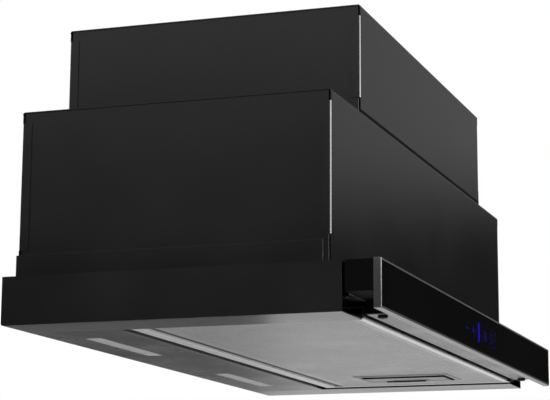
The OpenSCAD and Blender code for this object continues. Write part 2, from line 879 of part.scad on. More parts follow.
module scroll_half(s) {
    x0 = s > 0 ? 0 : -scroll_in;
    x1 = s > 0 ? scroll_in : 0;
    difference() {
        union() {
            along_x(s > 0 ? 0 : -scroll_in - scroll_t, s > 0 ? scroll_in + scroll_t : 0)
                polygon(scroll_points(scroll_t));
            // bellmouth round the inlet
            translate([s * (scroll_in + scroll_t), fan_y, fan_z]) rotate([0, s * 90, 0])
                translate([0, 0, -eps])
                cylinder(h = bellmouth_l, r1 = inlet_r + bellmouth_w, r2 = inlet_r + bellmouth_w + 2);
            joint_lugs() rod_x(s > 0 ? 0 : -lug_l, s > 0 ? lug_l : 0, lug_r);
            neck_flange(s);
        }
        along_x(x0 - (s > 0 ? 1 : 0), x1 + (s > 0 ? 0 : 1)) polygon(scroll_points(0));
        translate([s * (scroll_in - 1), fan_y, fan_z]) rotate([0, s * 90, 0])
            cylinder(h = scroll_t + bellmouth_l + 2, r1 = inlet_r, r2 = inlet_r + bellmouth_w);
        joint_lugs() rod_x(-2 * lug_l, 2 * lug_l, screw_r);
    }
}

// Half of the round plate under the outlet, which the body sheet lies on
module neck_flange(s) {
    intersection() {
        translate([0, outlet_y, neck_top - neck_flange_t]) cylinder(h = neck_flange_t, r = neck_flange_r);
        span([s > 0 ? 0 : -neck_flange_r, outlet_y - neck_flange_r, neck_top - neck_flange_t - 1],
            [s > 0 ? neck_flange_r : 0, outlet_y + neck_flange_r, neck_top + 1]);
    }
}

// Places of the screw lugs that hold the two halves together
module joint_lugs() {
    for (a = [140, 205, 270, 335]) {
        r = scroll_r(a) + scroll_t + lug_r - 1;
        translate([0, fan_y + r * cos(a), fan_z + r * sin(a)]) children();
    }
}

module volute_left() {
    color("#d9d9d2") scroll_half(-1);
}

module volute_right() {
    color("#d9d9d2") difference() {
        union() {
            scroll_half(1);
            mount_places() rod_x(scroll_in + scroll_t - eps, mount_boss, lug_r);
        }
        mount_places() rod_x(scroll_in, mount_boss + 1, screw_r);
    }
}

module volute_screws() {
    color("#b8b8b8") joint_lugs() {
        rod_x(-lug_l - eps, lug_l - screw_end_gap, screw_r);
        rod_x(-lug_l - screw_head_t, -lug_l, screw_head_r);
    }
}

// Three places round the fan axis where the motor bracket is held
module mount_places() {
    for (i = [0 : 2]) {
        a = 90 + i * 120;
        translate([0, fan_y + mount_r * cos(a), fan_z + mount_r * sin(a)]) children();
    }
}

// Points of one blade; its edge sweeps forward as the radius grows
function blade_edge(d) = [for (i = [0 : blade_steps])
    let (k = i / blade_steps, r = inlet_r + blade_depth * k,
        a = blade_sweep * pow(k, 1.7) + d * blade_t / 2 / r * 180 / PI)
    [r * cos(a), r * sin(a)]];
function turned(points) = [for (i = [len(points) - 1 : -1 : 0]) points[i]];

module impeller() {
    color("#3a3a3c") translate([0, fan_y, fan_z]) difference() {
        union() {
            along_x(-impeller_l / 2, impeller_l / 2) for (i = [0 : blade_n - 1]) {
                rotate(i * 360 / blade_n) polygon(concat(blade_edge(-1), turned(blade_edge(1))));
            }
            rod_x(-web_t / 2, web_t / 2, disc_r);
            rod_x(hub_x0, hub_x1, hub_r);
            for (x = [-impeller_l / 2, impeller_l / 2 - ring_t]) {
                difference() {
                    rod_x(x, x + ring_t, impeller_r + ring_rim);
                    rod_x(x - 1, x + ring_t + 1, ring_inner_r);
                }
            }
        }
        rod_x(hub_x0 - 1, hub_x1 + 1, shaft_r);
    }
}

module motor_shaft() {
    color("#c8c8c8") translate([0, fan_y, fan_z]) rod_x(shaft_x0, motor_x1 + 4, shaft_r);
}

module shaft_nut() {
    color("#c8a24a") translate([hub_x0, fan_y, fan_z]) rotate([0, -90, 0]) difference() {
        cylinder(h = nut_t, r = nut_r, $fn = 6);
        translate([0, 0, -1]) cylinder(h = nut_t + 2, r = shaft_r);
    }
}

module motor_housing() {
    color("#5a5a5c") translate([0, fan_y, fan_z]) difference() {
        union() {
            rod_x(motor_x0 + motor_shoulder, motor_x1 - motor_shoulder, motor_r);
            rod_x(motor_x0, motor_x1, motor_r - motor_shoulder);
            for (i = [0 : motor_fin_n - 1]) {
                rotate([i * 360 / motor_fin_n, 0, 0])
                    span([motor_x0 + motor_shoulder + 2, -motor_fin_t / 2, 0],
                        [motor_x1 - motor_shoulder - 2, motor_fin_t / 2, motor_r + motor_fin_h]);
            }
            rod_x(motor_x1 - 1, motor_x1 + motor_boss_h, motor_boss_r);
        }
        rod_x(0, motor_x1 + motor_boss_h + 1, shaft_r + run_gap);
    }
}

module motor_bracket() {
    color("#b4b4b4") difference() {
        union() {
            translate([0, fan_y, fan_z]) rod_x(motor_x1, motor_x1 + bracket_t, bracket_r);
            for (i = [0 : 2]) {
                translate([0, fan_y, fan_z]) rotate([i * 120, 0, 0])
                    span([motor_x1, -bracket_arm_w / 2, 0],
                        [motor_x1 + bracket_t, bracket_arm_w / 2, mount_r]);
            }
            mount_places() rod_x(motor_x1, motor_x1 + bracket_t, bracket_eye_r);
        }
        translate([0, fan_y, fan_z]) rod_x(motor_x1 - 1, motor_x1 + bracket_t + 1, motor_boss_r);
        mount_places() rod_x(motor_x1 - 1, motor_x1 + bracket_t + 1, mount_neck_r);
    }
}

module motor_mounts() {
    color("#1a1a1a") mount_places() difference() {
        union() {
            rod_x(mount_boss, motor_x1, mount_outer_r);
            rod_x(motor_x1 - eps, motor_x1 + bracket_t + eps, mount_neck_r);
            rod_x(motor_x1 + bracket_t, motor_x1 + bracket_t + mount_t, mount_outer_r);
        }
        rod_x(mount_boss - 1, motor_x1 + bracket_t + mount_t + 1, screw_r);
    }
}

module motor_screws() {
    color("#b8b8b8") mount_places() {
        x1 = motor_x1 + bracket_t + mount_t;
        rod_x(mount_boss - motor_screw_grip, x1 + eps, screw_r);
        rod_x(x1, x1 + screw_head_t, motor_screw_head_r);
    }
}

// ---- Electrics in the motor box

module capacitor() {
    color("#d0d0d0") translate([cap_x, cap_y, cap_z]) {
        rod_x(0, cap_l, cap_r);
        for (t = side) {
            translate([cap_l, t * cap_tag_pitch / 2, 0])
                span([-eps, -cap_tag_t / 2, -cap_tag_w / 2], [cap_tag_l, cap_tag_t / 2, cap_tag_w / 2]);
        }
    }
}

module capacitor_clip() {
    x0 = cap_x + clip_inset;
    w = cap_r + clip_foot;
    z1 = body_h - sheet_t;
    color("#b8b8b8") difference() {
        union() {
            translate([x0, cap_y, cap_z]) rod_x(0, clip_w, cap_r + clip_t);
            span([x0, cap_y - w, z1 - clip_t], [x0 + clip_w, cap_y + w, z1]);
        }
        translate([cap_x, cap_y, cap_z]) rod_x(0, cap_l, cap_r);
        span([cap_x, cap_y - w, z1], [cap_x + cap_l, cap_y + w, z1 + cap_r]);
    }
}

module power_box() {
    w = box_wall;
    color("#ececec") translate([box_x0, box_y1 - box_d, box_z]) difference() {
        span([0, 0, w], [box_l, box_d, box_h]);
        span([w, w, 0], [box_l - w, box_d - w, box_h - w]);
    }
}

module power_box_lid() {
    lip = box_lid_lip;
    color("#e0e0e0") translate([box_x0, box_y1 - box_d, box_z]) difference() {
        span([-lip, -lip, 0], [box_l + lip, box_d + lip, box_wall]);
        for (i = [0 : box_slot_n - 1]) {
            translate([box_l / 2 + (i - box_slot_n / 2) * box_slot_pitch, box_slot_inset, -1])
                cube([box_slot_w, box_d - 2 * box_slot_inset, box_wall + 2]);
        }
    }
}

module cable_gland() {
    r = gland_r;
    below = sheet_t + gland_below;
    color("#1a1a1a") translate([gland_x, gland_y, body_h]) difference() {
        union() {
            translate([0, 0, -below]) cylinder(h = below + gland_hex_h + eps, r = r);
            cylinder(h = gland_hex_h, r = r + gland_hex_w, $fn = 6);
            translate([0, 0, gland_hex_h]) cylinder(h = gland_cap_h, r1 = r + gland_cap_w, r2 = r);
            translate([0, 0, gland_nut_gap - below]) cylinder(h = gland_nut_h, r = r + gland_hex_w, $fn = 6);
        }
        translate([0, 0, -below - 1]) cylinder(h = below + gland_hex_h + gland_cap_h + 2, r = gland_bore_r);
    }
}

// ---- Outlet

module collar_screw_places() {
    for (i = [0 : collar_screw_n - 1]) {
        rotate_about_outlet(45 + i * 360 / collar_screw_n)
            translate([outlet_r + collar_flange_w / 2, 0, 0]) children();
    }
}

module rotate_about_outlet(a) {
    translate([0, outlet_y, 0]) rotate(a) children();
}

module outlet_collar() {
    zl = spindle_z - flap_t / 2 - air;
    color("#141414") difference() {
        union() {
            translate([0, outlet_y, body_h]) rotate_extrude($fn = 120) {
                polygon([[outlet_in_r, 0], [outlet_r + collar_flange_w, 0],
                    [outlet_r + collar_flange_w, collar_flange_t], [outlet_r, collar_flange_t],
                    [outlet_r, collar_h - collar_taper_h], [outlet_r - collar_taper, collar_h],
                    [outlet_in_r, collar_h]]);
                // stop ring that the closed flaps rest on
                polygon([[outlet_in_r - ledge_w, zl - body_h - ledge_t],
                    [outlet_in_r + eps, zl - body_h - ledge_t - ledge_slope],
                    [outlet_in_r + eps, zl - body_h], [outlet_in_r - ledge_w, zl - body_h]]);
            }
        }
        translate([0, outlet_y, spindle_z]) rod_x(-outlet_r - 1, outlet_r + 1, spindle_r);
        collar_screw_places() translate([0, 0, body_h - 1])
            cylinder(h = collar_flange_t + 2, r = collar_screw_r + collar_screw_gap);
    }
}

module collar_screws() {
    color("#b8b8b8") collar_screw_places() translate([0, 0, body_h]) {
        translate([0, 0, collar_flange_t]) {
            cylinder(h = collar_screw_head_t, r = collar_screw_head_r);
            translate([0, 0, -collar_screw_l]) cylinder(h = collar_screw_l + eps, r = collar_screw_r);
        }
    }
}

module flap_spindle() {
    color("#c8c8c8") translate([0, outlet_y, spindle_z]) rod_x(-outlet_r, outlet_r, spindle_r);
}

// A half disc with its knuckles; t is -1 for the front flap and 1 for the rear one
module flap(t) {
    pitch = (flap_r * 2 - 30) / (2 * knuckle_n);
    difference() {
        union() {
            intersection() {
                translate([0, 0, -flap_t / 2]) cylinder(h = flap_t, r = flap_r, $fn = 96);
                span([-flap_r, t > 0 ? knuckle_r + 0.5 : -flap_r, -flap_t],
                    [flap_r, t > 0 ? flap_r : -knuckle_r - 0.5, flap_t]);
            }
            for (i = [0 : knuckle_n - 1]) {
                translate([knuckle_x(t, i, pitch), 0, 0]) {
                    rod_x(-knuckle_w / 2, knuckle_w / 2, knuckle_r);
                    span([-knuckle_w / 2, t > 0 ? 1 : -knuckle_r - 1, -flap_t / 2],
                        [knuckle_w / 2, t > 0 ? knuckle_r + 1 : -1, flap_t / 2]);
                }
            }
        }
        rod_x(-flap_r, flap_r, spindle_r + run_gap);
        // notches that clear the other flap's knuckles
        for (i = [0 : knuckle_n - 1]) {
            translate([knuckle_x(-t, i, pitch), 0, 0])
                rod_x(-knuckle_w / 2 - 0.5, knuckle_w / 2 + 0.5, knuckle_r + 0.5);
        }
        // the spindle's bare ends
        for (s = side) {
            span([s > 0 ? flap_r - 4 : -flap_r, -knuckle_r - 1, -4], [s > 0 ? flap_r : 4 - flap_r, knuckle_r + 1, 4]);
        }
    }
}

function knuckle_x(t, i, pitch) = (2 * i - knuckle_n + 0.5 + (t > 0 ? 1 : 0)) * pitch;

module flap_front() {
    color("#202020") translate([0, outlet_y, spindle_z]) flap(-1);
}

module flap_rear() {
    color("#202020") translate([0, outlet_y, spindle_z]) flap(1);
}

// ---- Sensor that tells the electronics that the front is pulled out

module position_sensor() {
    color("#20242a") translate([runner_w + sensor_gap - wall_x, sensor_y, seat_z - base_t - sensor_h])
        cube([sensor_l, sensor_d, sensor_h]);
}

module sensor_magnet() {
    color("#4a4a4a") translate([runner_w + sensor_gap + (sensor_l - magnet_l) / 2 - wall_x,
        visor_rear - cover_t - magnet_d, visor_z + cover_t]) cube([magnet_l, magnet_d, magnet_h]);
}

base_frame();
skirt();
lower_wrap();
lower_side(-1);  // lower_side_left
lower_side(1);  // lower_side_right
upper_wrap();
upper_side(-1);  // upper_side_left
upper_side(1);  // upper_side_right
lamp_plate();
lamp_lens(-1);  // lamp_lens_left
lamp_lens(1);  // lamp_lens_right
lamp_board(-1);  // lamp_board_left
lamp_board(1);  // lamp_board_right
filter_frame();
filter_face();
filter_mesh();
filter_back();
latch_housing();
filter_handle();
front_glass();
panel_frame();
front_crossmember();
control_cover();
cover_screws();
control_board();
visor_sheet();
runner_outer(-1);  // runner_outer_left
runner_outer(1);  // runner_outer_right
ball_cage(-1);  // ball_cage_left
ball_cage(1);  // ball_cage_right
runner_inner(-1);  // runner_inner_left
runner_inner(1);  // runner_inner_right
volute_left();
volute_right();
volute_screws();
impeller();
motor_shaft();
shaft_nut();
motor_housing();
motor_bracket();
motor_mounts();
motor_screws();
capacitor();
capacitor_clip();
power_box();
power_box_lid();
cable_gland();
outlet_collar();
collar_screws();
flap_spindle();
flap_front();
flap_rear();
position_sensor();
sensor_magnet();
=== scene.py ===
# Pull out range hood, dressed for the photograph.
# Metres, +Z up, the glass front faces -Y, the origin is under the middle of the closed hood.
import math

import bmesh
import bpy
from mathutils import Matrix, Vector
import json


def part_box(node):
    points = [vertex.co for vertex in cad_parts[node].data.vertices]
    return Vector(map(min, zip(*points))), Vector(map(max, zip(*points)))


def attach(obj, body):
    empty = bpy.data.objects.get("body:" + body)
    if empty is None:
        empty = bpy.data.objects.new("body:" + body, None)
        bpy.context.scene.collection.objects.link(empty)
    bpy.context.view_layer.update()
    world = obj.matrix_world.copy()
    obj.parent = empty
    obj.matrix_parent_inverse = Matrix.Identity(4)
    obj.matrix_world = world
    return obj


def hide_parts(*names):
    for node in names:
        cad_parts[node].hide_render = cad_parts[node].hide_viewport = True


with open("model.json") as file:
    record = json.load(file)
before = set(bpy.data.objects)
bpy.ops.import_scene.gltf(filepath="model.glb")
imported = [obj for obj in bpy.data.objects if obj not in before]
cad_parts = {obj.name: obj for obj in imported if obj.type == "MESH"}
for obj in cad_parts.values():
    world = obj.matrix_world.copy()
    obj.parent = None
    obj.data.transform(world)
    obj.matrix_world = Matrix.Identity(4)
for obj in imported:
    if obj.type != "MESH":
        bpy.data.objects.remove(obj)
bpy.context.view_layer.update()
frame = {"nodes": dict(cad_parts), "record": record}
mm = 0.001
# points nearer than this are welded, in a new piece and in a mesh that comes from the CAD
pieceWeldMm = 0.001
nodeWeldMm = 0.002
bodyOf = {}
for bodyName, members in frame["record"]["behaviour"]["bodies"].items():
    for member in members:
        bodyOf[member] = bodyName
slotOf = {row["node"]: row["material_slot"] for row in frame["record"]["subparts"]}
print("frame: loaded", len(bodyOf), "nodes")

# solved from the hood's edges in the photograph, image taken as 550 x 400
cameraSetup = {
    "place": (-1.56645, -0.51497, -0.18043),
    "right": (0.31142, -0.95027, 0.00128),
    "down": (0.20264, 0.06508, -0.97708),
    "lens": 124.35,
    "sensor": 36.0,
    "shiftX": -0.0727,
    "shiftY": -0.0727,
    "clipEnd": 50.0,
}


def makeCamera(setup):
    data = bpy.data.cameras.new("camera")
    data.lens = setup["lens"]
    data.sensor_width = setup["sensor"]
    data.shift_x = setup["shiftX"]
    data.shift_y = setup["shiftY"]
    data.clip_end = setup["clipEnd"]
    camera = bpy.data.objects.new("camera", data)
    bpy.context.scene.collection.objects.link(camera)
    right = Vector(setup["right"]).normalized()
    up = -Vector(setup["down"]).normalized()
    back = right.cross(up)
    turn = Matrix((right, up, back)).transposed().to_4x4()
    camera.matrix_world = Matrix.Translation(setup["place"]) @ turn
    bpy.context.scene.camera = camera


makeCamera(cameraSetup)
print("camera: placed")


def fromHex(code):
    channels = [int(code[i : i + 2], 16) / 255 for i in (1, 3, 5)]
    linear = [c / 12.92 if c <= 0.04045 else ((c + 0.055) / 1.055) ** 2.4 for c in channels]
    return (*linear, 1.0)


def addNode(tree, kind, settings=None, inputs=None):
    # settings are the node's own properties, an input is a value or another node's socket
    node = tree.nodes.new(kind)
    for name, value in (settings or {}).items():
        setattr(node, name, value)
    for name, value in (inputs or {}).items():
        if isinstance(value, bpy.types.NodeSocket):
            tree.links.new(value, node.inputs[name])
        else:
            node.inputs[name].default_value = value
    return node


# sizes and places in metres, power in watts
studio = {
    "floorZ": -0.65,
    "floorSide": 14.0,
    "floorColour": "#d8d8d8",
    "floorRoughness": 0.9,
    "skyGlow": 0.86,
    "lightAim": (0, 0, 0.12),
    "keyPlace": (-0.4, -3.2, 1.15),
    "keySize": (1.7, 1.2),
    "keyPower": 62,
    "edgePlace": (-1.1, -3.3, 0.95),
    "edgeSize": (4.6, 0.9),
    "edgePower": 120,
}

# dark cloths that only gloss sees stand round the hood, as in a studio that photographs black enamel
flagRing = {"radius": 6.8, "foot": -0.1, "top": 3.6, "panels": 24}
# each cloth: from and to in degrees round Z, and how pale it is below and above its rise
flags = {
    "flagRight": {"from": -62, "to": 62, "rise": (1.22, 1.72), "pale": (0.004, 0.24)},
    "flagRound": {"from": 62, "to": 298, "rise": (0.9, 2.7), "pale": (0.03, 0.75)},
}
# and one lies flat behind the hood, to the right
floorFlag = {
    "corners": [(0.8, 0.31), (6.6, 2.40), (3.6, 6.0), (0.4, 2.0)],
    "lift": 0.002,
    "rise": (0.0, 1.0),
    "pale": (0.01, 0.01),
}


def makeWorld(setup):
    # white to the camera, to gloss and through glass, and a little dimmer as a light
    world = bpy.data.worlds.new("softStudio")
    bpy.context.scene.world = world
    world.use_nodes = True
    tree = world.node_tree
    tree.nodes.clear()
    path = addNode(tree, "ShaderNodeLightPath")
    seen = path.outputs["Is Camera Ray"]
    for ray in ("Is Glossy Ray", "Is Transmission Ray"):
        either = {0: seen, 1: path.outputs[ray]}
        seen = addNode(tree, "ShaderNodeMath", {"operation": "MAXIMUM"}, either).outputs[0]
    soft = addNode(tree, "ShaderNodeBackground", inputs={"Color": (1, 1, 1, 1), "Strength": setup["skyGlow"]})
    white = addNode(tree, "ShaderNodeBackground", inputs={"Color": (1, 1, 1, 1), "Strength": 1.0})
    shown = addNode(tree, "ShaderNodeMixShader", inputs={0: seen, 1: soft.outputs[0], 2: white.outputs[0]})
    addNode(tree, "ShaderNodeOutputWorld", inputs={"Surface": shown.outputs[0]})


def flagCloth(name, rise, pale):
    # black cloth with a little light on its upper part
    material = bpy.data.materials.new(name)
    material.use_nodes = True
    tree = material.node_tree
    shader = tree.nodes["Principled BSDF"]
    shader.inputs["Base Color"].default_value = (0, 0, 0, 1)
    shader.inputs["Specular IOR Level"].default_value = 0.0
    shader.inputs["Emission Color"].default_value = (1, 1, 1, 1)
    where = addNode(tree, "ShaderNodeTexCoord")
    height = addNode(tree, "ShaderNodeSeparateXYZ", inputs={"Vector": where.outputs["Object"]})
    glow = addNode(
        tree,
        "ShaderNodeMapRange",
        {"interpolation_type": "SMOOTHSTEP"},
        {
            "Value": height.outputs["Z"], "From Min": rise[0], "From Max": rise[1],
            "To Min": pale[0], "To Max": pale[1],
        },
    )
    tree.links.new(glow.outputs["Result"], shader.inputs["Emission Strength"])
    return material


def addFlag(name, corners, faces, look):
    mesh = bpy.data.meshes.new(name)
    mesh.from_pydata(corners, [], faces)
    mesh.materials.append(flagCloth(name + "Cloth", look["rise"], look["pale"]))
    flag = bpy.data.objects.new(name, mesh)
    bpy.context.scene.collection.objects.link(flag)
    flag.visible_camera = False
    flag.visible_diffuse = False
    flag.visible_transmission = False
    flag.visible_shadow = False


def makeFlags(ring, floorZ):
    count = ring["panels"]
    faces = [(2 * i, 2 * i + 1, 2 * i + 3, 2 * i + 2) for i in range(count)]
    for name, look in flags.items():
        corners = []
        for i in range(count + 1):
            turn = math.radians(look["from"] + (look["to"] - look["from"]) * i / count)
            for z in (ring["foot"], ring["top"]):
                corners.append((ring["radius"] * math.cos(turn), ring["radius"] * math.sin(turn), z))
        addFlag(name, corners, faces, look)
    z = floorZ + floorFlag["lift"]
    addFlag("flagFloor", [(x, y, z) for x, y in floorFlag["corners"]], [(0, 1, 2, 3)], floorFlag)


def addSoftBox(name, place, aim, size, power, onlyGloss):
    lamp = bpy.data.lights.new(name, "AREA")
    lamp.shape = "RECTANGLE"
    lamp.size, lamp.size_y = size
    lamp.energy = power
    light = bpy.data.objects.new(name, lamp)
    bpy.context.scene.collection.objects.link(light)
    turn = (Vector(aim) - Vector(place)).to_track_quat("-Z", "Y")
    light.matrix_world = Matrix.Translation(place) @ turn.to_matrix().to_4x4()
    light.visible_diffuse = not onlyGloss


def makeStudio(setup):
    bpy.context.scene.view_settings.view_transform = "Standard"
    makeWorld(setup)
    half = setup["floorSide"] / 2
    mesh = bpy.data.meshes.new("floor")
    corners = [(x * half, y * half, setup["floorZ"]) for x, y in ((-1, -1), (1, -1), (1, 1), (-1, 1))]
    mesh.from_pydata(corners, [], [(0, 1, 2, 3)])
    floor = bpy.data.objects.new("floor", mesh)
    bpy.context.scene.collection.objects.link(floor)
    paper = bpy.data.materials.new("backdropPaper")
    paper.use_nodes = True
    shader = paper.node_tree.nodes["Principled BSDF"]
    shader.inputs["Base Color"].default_value = fromHex(setup["floorColour"])
    shader.inputs["Roughness"].default_value = setup["floorRoughness"]
    # seen from below the floor is clear, so the underside can be looked at
    tree = paper.node_tree
    side = addNode(tree, "ShaderNodeNewGeometry")
    clear = addNode(tree, "ShaderNodeBsdfTransparent")
    either = {0: side.outputs["Backfacing"], 1: shader.outputs[0], 2: clear.outputs[0]}
    both = addNode(tree, "ShaderNodeMixShader", inputs=either)
    tree.links.new(both.outputs[0], tree.nodes["Material Output"].inputs["Surface"])
    mesh.materials.append(paper)
    aim = setup["lightAim"]
    addSoftBox("keyBox", setup["keyPlace"], aim, setup["keySize"], setup["keyPower"], False)
    # a long low box that only gloss sees draws the bright lines on the bends
    addSoftBox("edgeBox", setup["edgePlace"], aim, setup["edgeSize"], setup["edgePower"], True)
    makeFlags(flagRing, setup["floorZ"])


makeStudio(studio)
print("studio: floor, world, two soft boxes and three dark flags")


# a noise pattern's values lie mostly in this span, over which colour and gloss change
patternSpan = (0.3, 0.7)
# typical indices of refraction
coatIor = 1.5
plasticIor = 1.49
glassIor = 1.52


def startMaterial(name):
    material = bpy.data.materials.new(name)
    material.use_nodes = True
    tree = material.node_tree
    return material, tree, tree.nodes["Principled BSDF"]


def spread(tree, sizeMm, detail=2.0, stretch=(1, 1, 1), shift=0.0):
    # a noise pattern on object coordinates, its spots about sizeMm across; shift keeps two patterns apart
    where = addNode(tree, "ShaderNodeTexCoord")
    place = addNode(
        tree,
        "ShaderNodeMapping",
        inputs={"Vector": where.outputs["Object"], "Scale": stretch, "Location": (shift, shift, shift)},
    )
    noise = {"Vector": place.outputs["Vector"], "Scale": 1000 / sizeMm, "Detail": detail, "Roughness": 0.5}
    return addNode(tree, "ShaderNodeTexNoise", inputs=noise).outputs["Fac"]


def paint(tree, shader, look, tone, gloss):
    # the colour, and a glow where there is one, follow the tone pattern, and roughness the gloss pattern
    colours = {"Base Color": (look["dark"], look["pale"])}
    if "glow" in look:
        colours["Emission Color"] = look["glow"]
    for socket, codes in colours.items():
        ramp = addNode(tree, "ShaderNodeValToRGB", inputs={"Fac": tone})
        for stop, position, code in zip(ramp.color_ramp.elements, patternSpan, codes):
            stop.position = position
            stop.color = fromHex(code)
        tree.links.new(ramp.outputs["Color"], shader.inputs[socket])
    low, high = look["roughness"]
    start, end = patternSpan
    limits = {"Value": gloss, "From Min": start, "From Max": end, "To Min": low, "To Max": high}
    wander = addNode(tree, "ShaderNodeMapRange", inputs=limits)
    tree.links.new(wander.outputs["Result"], shader.inputs["Roughness"])


def relief(tree, shader, pattern, strength, depthMm):
    # the pattern's height, too fine to model
    rise = {"Height": pattern, "Strength": strength, "Distance": depthMm * mm}
    bump = addNode(tree, "ShaderNodeBump", inputs=rise)
    tree.links.new(bump.outputs["Normal"], shader.inputs["Normal"])


def coatedSteel(name, look):
    # baked coat on sheet steel: a soft sheen over very fine orange peel
    material, tree, shader = startMaterial(name)
    peel = spread(tree, look["peelMm"], detail=1.0)
    cloud = spread(tree, look["cloudMm"], detail=3.0, shift=4.1)
    paint(tree, shader, look, cloud, cloud)
    shader.inputs["IOR"].default_value = coatIor
    relief(tree, shader, peel, strength=0.25, depthMm=look["peelDepthMm"])
    return material


def brushedMetal(name, look):
    # rolled sheet, brushed: fine streaks along the hood's width, wandering gloss
    material, tree, shader = startMaterial(name)
    finer = look["streakLengthMm"] / look["streakWidthMm"]
    streak = spread(tree, look["streakLengthMm"], stretch=(1.0, finer, finer))
    cloud = spread(tree, sizeMm=60, shift=2.7)
    paint(tree, shader, look, streak, cloud)
    shader.inputs["Metallic"].default_value = look.get("metallic", 1.0)
    relief(tree, shader, streak, look["strength"], look["depthMm"])
    return material


def mouldedPlastic(name, look):
    # injection moulded: even colour, faint flow clouds, fine spark-eroded grain
    material, tree, shader = startMaterial(name)
    grain = spread(tree, look["grainMm"])
    cloud = spread(tree, sizeMm=25, shift=1.3)
    paint(tree, shader, look, cloud, grain)
    shader.inputs["IOR"].default_value = plasticIor
    shader.inputs["Specular IOR Level"].default_value = look.get("specular", 0.5)
    relief(tree, shader, grain, strength=0.3, depthMm=look["grainDepthMm"])
    return material


def mottledMetal(name, look):
    # zinc plate, castings and turned parts: mottled tone and gloss
    material, tree, shader = startMaterial(name)
    mottle = spread(tree, look["mottleMm"], detail=4.0)
    paint(tree, shader, look, mottle, mottle)
    shader.inputs["Metallic"].default_value = 1.0
    relief(tree, shader, mottle, strength=0.3, depthMm=look["depthMm"])
    return material


def blackGlass(name, look):
    # toughened glass, painted black behind: near mirror gloss over a deep black
    material, tree, shader = startMaterial(name)
    cloud = spread(tree, look["cloudMm"], detail=1.0)
    paint(tree, shader, look, cloud, cloud)
    shader.inputs["IOR"].default_value = glassIor
    return material


def frostedAcrylic(name, look):
    # opal acrylic window, sand blasted inside: milky and even
    material, tree, shader = startMaterial(name)
    grain = spread(tree, look["grainMm"])
    cloud = spread(tree, look["cloudMm"], shift=3.3)
    paint(tree, shader, look, cloud, grain)
    shader.inputs["IOR"].default_value = plasticIor
    relief(tree, shader, grain, strength=0.2, depthMm=look["grainDepthMm"])
    return material


def litInk(name, look):
    # blue light through a printed mask behind the glass: a soft deep glow, a little uneven
    material, tree, shader = startMaterial(name)
    cloud = spread(tree, look["cloudMm"])
    paint(tree, shader, look, cloud, cloud)
    shader.inputs["Emission Strength"].default_value = look["strength"]
    return material


